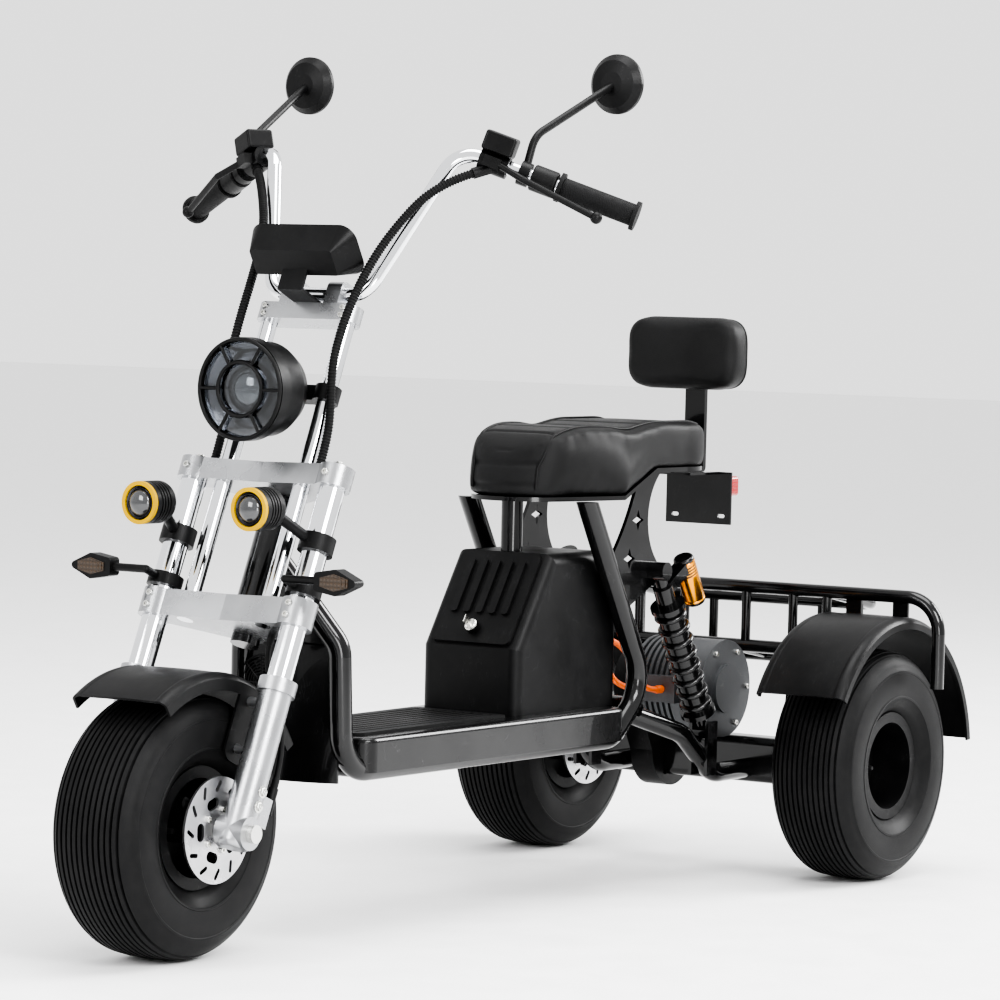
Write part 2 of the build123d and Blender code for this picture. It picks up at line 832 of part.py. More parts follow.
def left_fog_lamp():
    """The left fog lamp: finned body, arm, and clamp on the stanchion."""
    body = upright_bar(fog_radius, -fog_depth, 0)
    body = fillet(body.edges().group_by(Axis.Z)[0], fog_radius * 0.4)
    pitch = fog_depth * 0.5 / fog_fin_count
    for index in range(fog_fin_count):
        high = -fog_depth * 0.2 - pitch * index
        low = high - pitch * 0.4
        body -= upright_bar(2 * fog_radius, low, high) - upright_bar(fog_radius * 0.88, low - 1, high + 1)
    y = leg_half_spacing
    half = fog_arm_radius * 1.6
    clamp = upright_bar(stanchion_radius + clamp_wall, fog_height - half, fog_height + half, 0, y)
    back = Vector(fog_forward, fog_half_spacing, fog_height) - ahead * (fog_depth * 0.8)
    arm = rod((0, y, fog_height), tuple(back), fog_arm_radius)
    hole = upright_bar(stanchion_radius + seat_gap, fog_height - 2 * half, fog_height + 2 * half, 0, y)
    return fog_face() * body + clamp + arm - hole


def left_fog_ring():
    """The coloured ring round the left fog lamp's lens."""
    ring = upright_bar(fog_radius, seat_gap, fog_ring_depth)
    return fog_face() * (ring - upright_bar(fog_radius - fog_ring_width, 0, 2 * fog_ring_depth))


def left_signal():
    """The left turn signal: clamp on the stanchion, stem and arrow-shaped lamp."""
    y = leg_half_spacing
    half = signal_stem_radius * 1.5
    root = (signal_forward, y, signal_height)
    lamp_root = (signal_forward, y + signal_reach, signal_height)
    piece = upright_bar(stanchion_radius + clamp_wall, signal_height - half, signal_height + half, 0, y)
    piece += rod((0, y, signal_height), root, signal_stem_radius)
    piece += Pos(*root) * Sphere(signal_stem_radius)
    piece += rod(root, lamp_root, signal_stem_radius)
    wide = signal_width / 2
    broad = signal_length * 0.46
    arrow = Polyline(
        (-1, -wide * 0.68),
        (-1, wide * 0.68),
        (broad, wide),
        (signal_length, 0),
        (broad, -wide),
        close=True,
    )
    lamp = extrude(make_face(arrow), signal_thickness / 2, both=True)
    lamp = fillet(lamp.edges().filter_by(Axis.Z), signal_thickness / 4)
    piece += Plane(origin=lamp_root, x_dir=(0, 1, 0), z_dir=ahead) * lamp
    hole = upright_bar(stanchion_radius + seat_gap, signal_height - 3 * half, signal_height + 3 * half, 0, y)
    return piece - hole


def add_fork_lamps():
    """Headlight with its glass and guard, fog lamps with their rings, and turn signals."""
    lamp_place = Pos(headlight_face_x, 0, headlight_z) * Rot(0, 90, 0)
    drum = headlight_radius - headlight_wall
    nodes["headlight"] = lamp_place * headlight_shell()
    glass = upright_bar(drum - seat_gap, seat_gap - headlight_bezel, -guard_bar_radius)
    nodes["headlight_lens"] = lamp_place * glass
    nodes["headlight_guard"] = lamp_place * headlight_guard()
    nodes["lamp_bracket"] = lamp_bracket()
    nodes["fog_lamps"] = fork_frame * both_sides(left_fog_lamp())
    nodes["fog_lamp_rings"] = fork_frame * both_sides(left_fog_ring())
    nodes["turn_signals"] = fork_frame * both_sides(left_signal())


def add_front_guard():
    """The front mudguard: an arch over the tyre and a stay down each slider."""
    half = front_guard_width / 2
    section = guard_section(front_guard_radius, half, front_guard_skirt)
    guard = Pos(0, 0, axle_height) * wheel_arch(section, front_guard_front, front_guard_rear)
    top = front_guard_radius - front_guard_skirt / 2
    stay = Box(guard_stay_width, guard_wall, top - guard_stay_low)
    stay = fillet(stay.edges().filter_by(Axis.Y).group_by(Axis.Z)[0], guard_stay_width * 0.35)
    stay = fork_frame * Pos(0, half - guard_wall / 2, (top + guard_stay_low) / 2) * stay
    nodes["front_mudguard"] = guard + stay + mirror(stay, Plane.XZ)


def conduit_route():
    """The left conduit's points, from the master cylinder's gland down to the middle yoke."""
    plane = bar_plane(master_start)
    start = plane.from_local_coords(gland_point(gland_length + seat_gap))
    second = plane.from_local_coords(gland_point(3 * gland_length))
    foot = mid_yoke_high + seat_gap
    return [
        tuple(start),
        tuple(second),
        (16, 114, bar_z + 93),
        (32, 99, bar_z + 14),
        (40, 94, bar_z - 60),
        (38, 93, foot + 146),
        (14, 93, foot + 88),
        (4, 95, foot + 46),
        (4, 95, foot),
    ]


def hose_route():
    """The front brake hose's points, from the lower yoke down to the caliper's socket."""
    foot = hose_foot()
    top = lower_yoke_low - seat_gap
    start_x = -yoke_offset * 0.57
    return [
        (start_x, 64, top),
        (start_x, 64, top - 40),
        (start_x - 10, 84, top - 74),
        (start_x - 26, 102, top - 114),
        (foot[0], foot[1], foot[2] + 42),
        foot,
    ]


def add_fork_cables():
    """Two conduits from the bar to the middle yoke, and the hose to the front caliper."""
    nodes["cable_conduits"] = fork_frame * both_sides(cord("conduit", conduit_route(), conduit_radius))
    nodes["front_brake_hose"] = fork_frame * cord("front brake hose", hose_route(), hose_radius)


def side_tube(radius):
    """The left side tube: neck, shield edge, deck edge, rear bulge and up to the seat pan."""
    path = [
        (neck.X - neck_inset, neck_half_width, neck.Z - neck_inset),
        (shield_x, shield_half_width, neck.Z - neck_drop),
        (shield_x - frame_tube_radius / 3, shield_half_width + shield_wall, deck_tube_z),
        (deck_rear_x, deck_tube_half_width, deck_tube_z),
        (bulge_x, seat_tube_half_width, bulge_z),
        (seat_tube_x, seat_tube_half_width, seat_pan_z),
    ]
    bends = [share * frame_tube_radius for share in (2.9, 3.5, 3.2, 4.1)]
    return bent_tube(path, bends, radius)


def pan_cutter(rise):
    """All that lies above the seat pan's underside, with that surface raised by an amount."""
    low = seat_pan_z - seat_pan_thickness + rise
    high = seat_pan_rear_z - seat_pan_thickness + rise
    outline = Polyline(
        (seat_front_x + seat_length, low),
        (seat_kink_front_x, low),
        (seat_kink_rear_x, high),
        (seat_rear_x - seat_length, high),
        (seat_rear_x - seat_length, high + seat_length),
        (seat_front_x + seat_length, high + seat_length),
        close=True,
    )
    return extrude(Plane.XZ * make_face(outline), 2 * seat_half_width, both=True)


def add_frame():
    """Side tubes with cross tubes and head tube, leg shield, deck and its mat."""
    low = lower_yoke_high + bearing_gap
    high = mid_yoke_low - bearing_gap
    head = upright_bar(head_tube_radius, low, high, -yoke_offset)
    bore = upright_bar(stem_radius + running_gap, lower_yoke_low, mid_yoke_high, -yoke_offset)
    tubes = fork_frame * head
    side = side_tube(frame_tube_radius) - pan_cutter(-seat_gap)
    tubes += side
    tubes += mirror(side, Plane.XZ)
    # Cross tubes: distance along the trike, half length, height
    cross_tubes = (
        (shield_x - 3 * frame_tube_radius, shield_half_width + shield_wall, deck_tube_z),
        (box_front_x, (shield_half_width + deck_tube_half_width) / 2, deck_tube_z),
        (deck_rear_x + 3 * frame_tube_radius, deck_tube_half_width, deck_tube_z),
        (pivot_x, seat_tube_half_width, pivot_z),
    )
    for x, half, z in cross_tubes:
        tubes += cross_bar(cross_tube_radius, -half, half, x, z)
    nodes["frame"] = tubes - fork_frame * bore
    nodes["leg_shield"] = leg_shield()
    nodes["deck"] = deck()
    nodes["deck_mat"] = deck_mat()


def shield_section(z, arch):
    """The leg shield's thin arched section at one height."""
    half = shield_half_width
    back = shield_x - shield_wall
    outline = [
        ThreePointArc((shield_x, half), (shield_x + arch, 0), (shield_x, -half)),
        Line((shield_x, -half), (back, -half)),
        ThreePointArc((back, -half), (back + arch, 0), (back, half)),
        Line((back, half), (shield_x, half)),
    ]
    return Pos(0, 0, z) * make_face(outline)


def leg_shield():
    """The arched panel between the side tubes' front runs, with the speaker's rim and the neck plate."""
    top = neck.Z - neck_drop
    panel = loft([shield_section(deck_low, shield_arch), shield_section(top, shield_arch / 4)])
    speaker = Pos(shield_x, speaker_y, speaker_z) * Rot(0, 90, 0)
    rim_ring = speaker * Cylinder(speaker_radius, 4 * shield_arch) - speaker * Cylinder(
        speaker_radius - shield_wall, 8 * shield_arch)
    panel += (Pos(shield_wall / 2, 0, 0) * panel) & rim_ring
    low_edge = Vector(shield_x - shield_wall / 2, 0, top - shield_wall)
    slope = Vector(neck.X - neck_inset, 0, neck.Z - neck_inset) - low_edge
    lean = Plane(origin=tuple(low_edge), x_dir=(0, 1, 0), z_dir=(slope.Z, 0, -slope.X))
    length = slope.length if lean.y_dir.Z > 0 else -slope.length
    cover = Polyline(
        (-shield_half_width, 0),
        (shield_half_width, 0),
        (neck_half_width, length),
        (-neck_half_width, length),
        close=True,
    )
    panel += lean * extrude(make_face(cover), shield_wall / 2, both=True)
    cut = side_tube(frame_tube_radius + seat_gap)
    panel -= cut
    panel -= mirror(cut, Plane.XZ)
    head = upright_bar(head_tube_radius + seat_gap, lower_yoke_low, mid_yoke_high, -yoke_offset)
    panel -= fork_frame * head
    return panel.solids().sort_by(SortBy.VOLUME)[-1]


def deck_outline(inset):
    """The deck from above: narrow at the shield, wide at the rear, with rounded corners."""
    front = shield_x - 2 * frame_tube_radius - inset
    rear = deck_rear_x - frame_tube_radius + inset
    front_half = shield_half_width + frame_tube_radius + 3 * deck_wall - inset
    rear_half = deck_tube_half_width + frame_tube_radius + deck_wall - inset
    corners = ((front, front_half), (rear, rear_half), (rear, -rear_half), (front, -front_half))
    face = make_face(Polyline(*corners, close=True))
    return fillet(face.vertices(), deck_corner - inset)


def deck():
    """The foot deck: a pan with side skirts, open below, whose ribs lie on the frame."""
    pan = Pos(0, 0, deck_top - deck_skirt) * extrude(deck_outline(0), deck_skirt)
    pan = fillet(pan.edges().group_by(Axis.Z)[-1], 2 * deck_wall)
    pan -= Pos(0, 0, deck_top - deck_skirt - 1) * extrude(deck_outline(deck_wall), deck_skirt - deck_wall + 1)
    front = shield_x - 5 * frame_tube_radius
    pitch = (front - deck_rear_x - 4 * frame_tube_radius) / (deck_rib_count - 1)
    rib_top = deck_top - deck_wall / 2
    rib_low = deck_tube_z + cross_tube_radius + seat_gap
    width = 2 * (shield_half_width + frame_tube_radius)
    for index in range(deck_rib_count):
        rib = Box(deck_rib_thickness, width, rib_top - rib_low)
        pan += Pos(front - pitch * index, 0, (rib_top + rib_low) / 2) * rib
    cut = side_tube(frame_tube_radius + seat_gap)
    pan -= cut
    pan -= mirror(cut, Plane.XZ)
    return pan.solids().sort_by(SortBy.VOLUME)[-1]


def deck_mat():
    """The ribbed rubber mat on the deck, ahead of the battery box."""
    front = shield_x - 3 * frame_tube_radius
    length = front - box_front_x - lid_frame
    width = 2 * shield_half_width
    mat = fillet(Box(length, width, mat_thickness).edges().filter_by(Axis.Z), mat_margin * 0.9)
    pitch = (width - 2 * mat_margin) / (mat_groove_count - 1)
    groove = Box(length - 2 * mat_margin, pitch * 0.3, mat_thickness)
    for index in range(mat_groove_count):
        y = (index - (mat_groove_count - 1) / 2) * pitch
        mat -= Pos(0, y, mat_thickness * 0.6) * groove
    return Pos(front - length / 2, 0, deck_top + mat_thickness / 2 + seat_gap) * mat


def box_outline(inset):
    """The battery box from the side, drawn in by an inset."""
    slope = atan2(box_top_z - box_shoulder_z, box_front_x - box_top_front_x)
    shoulder_shift = inset * tan((radians(90) - slope) / 2)
    top_shift = inset * tan(slope / 2)
    return Polyline(
        (box_front_x - inset, deck_top + seat_gap + inset),
        (box_front_x - inset, box_shoulder_z - shoulder_shift),
        (box_top_front_x - top_shift, box_top_z - inset),
        (box_top_rear_x + inset * 0.5, box_top_z - inset),
        (box_rear_x + inset, box_rear_shoulder_z - inset * 0.5),
        (box_rear_x + inset, deck_top + seat_gap + inset),
        close=True,
    )


def lid_plane():
    """The plane of the battery box's slanted front, with its X across."""
    middle = ((box_front_x + box_top_front_x) / 2, 0, (box_shoulder_z + box_top_z) / 2)
    normal = (box_top_z - box_shoulder_z, 0, box_front_x - box_top_front_x)
    return Plane(origin=middle, x_dir=(0, 1, 0), z_dir=normal)


def battery_lid(length):
    """The hinged lid: a plate with raised ribs and a round lock near its lower edge."""
    width = 2 * (box_half_width - lid_margin - box_corner / 2)
    lid = Pos(0, 0, lid_thickness / 2 + seat_gap) * Box(width, length - 2 * lid_edge, lid_thickness)
    lid = fillet(lid.edges().filter_by(Axis.Z), 2 * lid_thickness)
    top = lid_thickness + seat_gap
    pitch = (width - 2 * lid_frame) / lid_rib_count
    rib = Pos(0, 0, lid_rib_height / 2) * Box(pitch * 0.55, length * 0.56, lid_rib_height)
    rib = fillet(rib.edges().filter_by(Axis.Z), pitch * 0.2)
    up = 1 if lid_plane().y_dir.Z > 0 else -1
    for index in range(lid_rib_count):
        across = (index - (lid_rib_count - 1) / 2) * pitch
        lid += Pos(across, up * length * 0.1, top) * rib
    return lid + Pos(0, -up * length * 0.33, top + lock_height / 2) * Cylinder(lock_radius, lock_height)


def add_battery_box():
    """Battery box with its hinged ribbed lid, and the battery inside."""
    shell = extrude(Plane.XZ * make_face(box_outline(0)), box_half_width, both=True)
    rims = shell.edges().filter_by(lambda edge: abs(abs(edge.center().Y) - box_half_width) < 1)
    shell = fillet(rims.filter_by(lambda edge: edge.center().Z > deck_top + box_wall), box_corner)
    inner_half = box_half_width - box_wall - box_corner * 0.3
    shell -= extrude(Plane.XZ * make_face(box_outline(box_wall)), inner_half, both=True)
    length = hypot(box_front_x - box_top_front_x, box_top_z - box_shoulder_z)
    way_in = Box(2 * (box_half_width - box_corner - lid_frame), length - 2 * lid_frame, 6 * box_wall)
    nodes["battery_box"] = shell - lid_plane() * way_in
    nodes["battery_lid"] = lid_plane() * battery_lid(length)
    front = box_top_front_x - battery_clearance
    rear = box_rear_x + box_wall + battery_clearance
    width = 2 * (box_half_width - battery_clearance)
    floor = deck_top + box_wall + 2 * seat_gap
    battery = Box(front - rear, width, battery_height)
    nodes["battery"] = Pos((front + rear) / 2, 0, floor + battery_height / 2) * battery


def seat_side():
    """The seat from the side: deep at the nose, kinked up underneath at the rear."""
    low = seat_pan_z + seat_gap
    rear_low = seat_pan_rear_z + seat_gap
    rear_top = (seat_rear_x, seat_top_z - 0.06 * seat_height)
    dip = (seat_rear_x + 0.52 * seat_length, seat_top_z - 0.1 * seat_height)
    brow = (seat_front_x - 0.08 * seat_length, seat_top_z - 0.14 * seat_height)
    nose = (seat_front_x, seat_top_z - 0.5 * seat_height)
    hip = (seat_rear_x + 0.24 * seat_length, seat_top_z + 0.02 * seat_height)
    thigh = (seat_front_x - 0.27 * seat_length, seat_top_z - 0.05 * seat_height)
    curl = (seat_front_x - 0.016 * seat_length, seat_top_z - 0.3 * seat_height)
    return [
        Line((seat_front_x, low), (seat_kink_front_x, low)),
        Line((seat_kink_front_x, low), (seat_kink_rear_x, rear_low)),
        Line((seat_kink_rear_x, rear_low), (seat_rear_x, rear_low)),
        Line((seat_rear_x, rear_low), rear_top),
        ThreePointArc(rear_top, hip, dip),
        ThreePointArc(dip, thigh, brow),
        ThreePointArc(brow, curl, nose),
        Line(nose, (seat_front_x, low)),
    ]


def seat_plan(inset):
    """The seat from above: a rounded nose that widens to the hips."""
    wide = seat_half_width - inset
    narrow = seat_nose_half_width - inset
    front = seat_front_x - inset
    rear = seat_rear_x + inset
    nose_x = front - 0.07 * seat_length
    corner_x = rear + 0.18 * seat_length
    corner_half = 0.6 * wide
    outline = [
        ThreePointArc((nose_x, narrow), (front, 0), (nose_x, -narrow)),
        Line((rear, corner_half), (rear, -corner_half)),
    ]
    for side in sides:
        thigh = ((nose_x + seat_kink_front_x) / 2, side * (0.4 * narrow + 0.6 * wide))
        bend = (rear + 0.05 * seat_length, side * 0.88 * wide)
        outline.append(ThreePointArc((nose_x, side * narrow), thigh, (seat_kink_front_x, side * wide)))
        outline.append(Line((seat_kink_front_x, side * wide), (corner_x, side * wide)))
        outline.append(ThreePointArc((corner_x, side * wide), bend, (rear, side * corner_half)))
    return Pos(0, 0, seat_pan_z - seat_length) * extrude(make_face(outline), 2 * seat_length)


def add_seat():
    """Seat pan, front post, cushion, side plates, backrest and its post."""
    cushion = extrude(Plane.XZ * make_face(seat_side()), 2 * seat_half_width, both=True)
    nodes["seat_cushion"] = cushion & seat_plan(0)
    nodes["seat_pan"] = (pan_cutter(0) - pan_cutter(seat_pan_thickness)) & seat_plan(seat_pan_thickness)
    post_top = seat_pan_z - seat_pan_thickness - seat_gap
    nodes["seat_post"] = upright_bar(seat_post_radius, box_top_z + seat_gap, post_top, seat_post_x)
    nodes["seat_plates"] = both_sides(left_seat_plate())
    pad = Box(backrest_thickness, 2 * backrest_half_width, backrest_high - backrest_low)
    pad = fillet(pad.edges().filter_by(Axis.X), backrest_corner)
    pad = fillet(pad.edges(), backrest_corner / 3)
    nodes["backrest_pad"] = Pos(backrest_x, 0, (backrest_low + backrest_high) / 2) * pad
    nodes["backrest_post"] = backrest_post()


def backrest_post():
    """The flat bar from under the seat pan's rear, bent up to carry the backrest pad."""
    top_z = seat_pan_rear_z - seat_pan_thickness - seat_gap
    low_z = top_z - backrest_post_thickness
    front_x = seat_rear_x + 0.18 * seat_length
    face_x = backrest_x - backrest_thickness / 2 - seat_gap
    back_x = face_x - backrest_post_thickness
    high_z = backrest_high - backrest_corner
    outline = Polyline(
        (front_x, top_z),
        (face_x, top_z),
        (face_x, high_z),
        (back_x, high_z),
        (back_x, low_z),
        (front_x, low_z),
        close=True,
    )
    bar = extrude(Plane.XZ * make_face(outline), backrest_post_width / 2, both=True)
    corner = bar.edges().filter_by(Axis.Y).sort_by_distance((back_x, 0, low_z))[0]
    return fillet(corner, backrest_post_thickness * 0.9)


def tube_x(z):
    """The distance along the trike of the left side tube's upper run at one height."""
    return seat_tube_x + (bulge_x - seat_tube_x) * (seat_pan_z - z) / (seat_pan_z - bulge_z)


def left_seat_plate():
    """The left curved plate from the side tube past the shock's upper eye to the seat pan."""
    x = shock_top_x
    z = shock_top_z
    width = plate_strip
    foot = (tube_x(z - width), z - width)
    step = (tube_x(z), z)
    brow = (x + 0.55 * width, seat_pan_rear_z)
    tail = (x - 0.45 * width, seat_pan_rear_z)
    nape = (x - 0.25 * width, z + 0.17 * width)
    heel = (x - 0.2 * width, z - 0.25 * width)
    outline = [
        Line(foot, step),
        ThreePointArc(step, (x + 1.28 * width, z + 0.86 * width), brow),
        Line(brow, tail),
        ThreePointArc(tail, (x + 0.2 * width, z + 1.14 * width), nape),
        Line(nape, heel),
        Line(heel, foot),
    ]
    face = make_face(outline)
    for forward, rise in ((0.95, 0.3), (0.62, 1.15)):
        face -= Pos(x + forward * width, z + rise * width) * star(star_radius)
    plate = Pos(0, plate_y, 0) * extrude(Plane.XZ * face, plate_thickness / 2, both=True)
    plate -= side_tube(frame_tube_radius + seat_gap)
    plate -= pan_cutter(-seat_gap)
    plate = plate.solids().sort_by(SortBy.VOLUME)[-1]
    outer_y = shock_y + shock_eye_width / 2 + seat_gap
    plate += cross_bar(shock_pin_radius, plate_y, outer_y, x, z)
    return plate + cross_bar(shock_eye_radius, outer_y, outer_y + plate_thickness, x, z)


def star(radius):
    """A four-pointed star cut-out."""
    points = []
    for index in range(8):
        reach = radius if index % 2 == 0 else radius * 0.42
        points.append((reach * cos(radians(45 * index)), reach * sin(radians(45 * index))))
    return make_face(Polyline(*points, close=True))


def add_rear_axle():
    """Axle beam with its stubs and caliper plates, calipers, swing arm, drive and shocks."""
    beam_box = Box(axle_beam_depth, 2 * axle_beam_half, axle_beam_height)
    beam = Pos(rear_x, 0, beam_z) * fillet(beam_box.edges().filter_by(Axis.Y), axle_beam_height / 6)
    nut_y = rear_hub_y + stub_play
    plate_middle = rear_disc_y - caliper_width / 2 - seat_gap - caliper_plate_thickness / 2
    arm = Box(rear_disc_radius + caliper_depth / 2, caliper_plate_thickness, caliper_depth * 0.9)
    arm = Rot(0, -rear_caliper_angle, 0) * Pos(rear_disc_radius / 2, 0, 0) * arm
    for side in sides:
        beam += cross_bar(rear_stub_radius, side * axle_beam_half, side * nut_y, rear_x, axle_height)
        nut_end = side * (nut_y + stub_nut_height)
        beam += cross_bar(stub_nut_radius, side * nut_y, nut_end, rear_x, axle_height)
        beam += Pos(rear_x, side * plate_middle, axle_height) * arm
    calipers = Pos(rear_x, 0, axle_height) * caliper(rear_disc_y, rear_disc_radius, rear_caliper_angle)
    left = left_shock()
    nodes["axle_beam"] = beam
    nodes["rear_calipers"] = both_sides(calipers)
    nodes["swing_arm"] = swing_arm()
    nodes["motor"] = motor()
    nodes["gearbox"] = gearbox()
    nodes["motor_cables"] = both_sides(left_motor_cable())
    nodes["shock_left"] = left
    nodes["shock_right"] = Pos(0, -2 * shock_y, 0) * left


def motor():
    """The drive motor: finned body, plain end bell on the left and the terminal block in front."""
    left_end = motor_right_y + motor_length
    body = cross_bar(motor_radius, motor_right_y, left_end, motor_x, motor_z)
    pitch = motor_length * 0.56 / motor_fin_count
    for index in range(motor_fin_count):
        y = motor_right_y + pitch * (index + 0.6)
        groove = cross_bar(2 * motor_radius, y, y + pitch * 0.5, motor_x, motor_z)
        body -= groove - cross_bar(motor_radius * 0.93, y - 1, y + pitch, motor_x, motor_z)
    body += cross_bar(motor_radius * 0.5, left_end, left_end + motor_radius * 0.08, motor_x, motor_z)
    block = Box(terminal_depth, terminal_width, terminal_height)
    return body + Pos(motor_x + motor_radius, 0, motor_z) * block


def gearbox():
    """The drive casing on the motor's right, closed round the axle beam."""
    span_x = motor_x - rear_x
    span_z = motor_z - axle_height
    middle_y = motor_right_y - gearbox_width / 2 - seat_gap
    casing = cross_bar(gearbox_motor_radius, -gearbox_width / 2, gearbox_width / 2, motor_x, motor_z)
    casing += cross_bar(gearbox_axle_radius, -gearbox_width / 2, gearbox_width / 2, rear_x, axle_height)
    bridge = Box(hypot(span_x, span_z), gearbox_width, 1.9 * gearbox_motor_radius)
    bridge = Rot(0, -degrees(atan2(span_z, span_x)), 0) * bridge
    casing += Pos(rear_x + span_x / 2, 0, axle_height + span_z / 2) * bridge
    tunnel = Box(axle_beam_depth + 2 * seat_gap, 2 * axle_beam_half, axle_beam_height + 2 * seat_gap)
    return Pos(0, middle_y, 0) * casing - Pos(rear_x, 0, beam_z) * tunnel


def left_motor_cable():
    """The left of the two drive cables, from the battery box to the motor's terminals."""
    start = box_rear_x - seat_gap
    end = motor_x + motor_radius + terminal_depth / 2 + seat_gap
    span = start - end
    drop = cable_start_z - motor_z
    y = cable_half_spacing
    return cord("motor cable", [
        (start, y, cable_start_z),
        (start - 0.19 * span, y, cable_start_z),
        (start - 0.4 * span, y * 1.4, cable_start_z - 0.12 * drop),
        (start - 0.6 * span, y * 1.4, cable_start_z - 0.53 * drop),
        (start - 0.77 * span, y, motor_z),
        (end, y, motor_z),
    ], cable_radius)


def swing_arm():
    """The twin-tube swing arm from its pivot sleeves to the axle beam, with lugs for the shocks."""
    inner = seat_tube_half_width - frame_tube_radius - 1
    beam_x = rear_x + axle_beam_depth / 2 + seat_gap
    arm_z = axle_height - swing_drop
    y = shock_y
    sleeve_radius = cross_tube_radius + pivot_sleeve_wall
    arm = cross_bar(sleeve_radius, inner - pivot_sleeve_length, inner, pivot_x, pivot_z)
    arm += bent_tube([
        (pivot_x - 8, inner - pivot_sleeve_length * 0.75, pivot_z - 4),
        (pivot_x + 0.39 * (beam_x - pivot_x), y, pivot_z + 0.4 * (arm_z - pivot_z)),
        (shock_foot_x - 2 * shock_eye_radius, y, arm_z),
        (beam_x, y, arm_z),
    ], [4 * swing_tube_radius] * 2, swing_tube_radius)
    arm -= cross_bar(cross_tube_radius + seat_gap, 0, 2 * inner, pivot_x, pivot_z)
    cheek_offset = shock_eye_width / 2 + shock_cheek_thickness / 2 + seat_gap
    height = shock_foot_z - arm_z + shock_eye_radius
    cheek = Box(2 * shock_eye_radius, shock_cheek_thickness, height)
    for shift in (-cheek_offset, cheek_offset):
        arm += Pos(shock_foot_x, y + shift, arm_z + height / 2) * cheek
    arm += cross_bar(shock_pin_radius, y - cheek_offset, y + cheek_offset, shock_foot_x, shock_foot_z)
    return both_sides(arm)


def left_shock():
    """The left shock: eyes, damper, coil with its collars, and the reservoir behind it."""
    length = hypot(shock_top_x - shock_foot_x, shock_top_z - shock_foot_z)
    down = Plane(origin=(shock_top_x, shock_y, shock_top_z), x_dir=(0, 1, 0),
                 z_dir=(shock_foot_x - shock_top_x, 0, shock_foot_z - shock_top_z))
    coil_end = length - shock_coil_foot
    coil_length = coil_end - shock_coil_top
    pitch = coil_length / shock_coil_count
    sleeve = shock_coil_radius - 1.2 * shock_wire_radius
    pieces = [
        upright_bar(1.2 * shock_rod_radius, 0, 2 * shock_eye_radius),
        upright_bar(shock_body_radius, 2 * shock_eye_radius, shock_coil_top),
        upright_bar(shock_rod_radius, shock_coil_top, length),
        upright_bar(sleeve, shock_coil_top, coil_end),
        upright_bar(shock_collar_radius, shock_coil_top - shock_collar_height, shock_coil_top),
        upright_bar(shock_collar_radius, coil_end, coil_end + shock_collar_height),
    ]
    for index in range(shock_coil_count):
        ring = Torus(shock_coil_radius - shock_wire_radius, shock_wire_radius)
        pieces.append(Pos(0, 0, shock_coil_top + pitch * (index + 0.5)) * ring)
    for z in (0, length):
        pieces.append(Pos(0, 0, z) * Rot(0, 90, 0) * Cylinder(shock_eye_radius, shock_eye_width))
    top = shock_eye_radius * 1.4
    bottle = upright_bar(reservoir_radius, top, top + reservoir_length)
    bottle = fillet(bottle.edges(), reservoir_radius / 4)
    pieces.append(Pos(0, -reservoir_offset, 0) * bottle)
    bridge = Box(1.5 * shock_body_radius, reservoir_offset, shock_eye_radius * 1.3)
    pieces.append(Pos(0, -reservoir_offset / 2, top + shock_eye_radius) * bridge)
    shock = joined(pieces)
    for z in (0, length):
        shock -= Pos(0, 0, z) * Rot(0, 90, 0) * Cylinder(shock_pin_radius + seat_gap, 3 * shock_eye_width)
    return down * shock


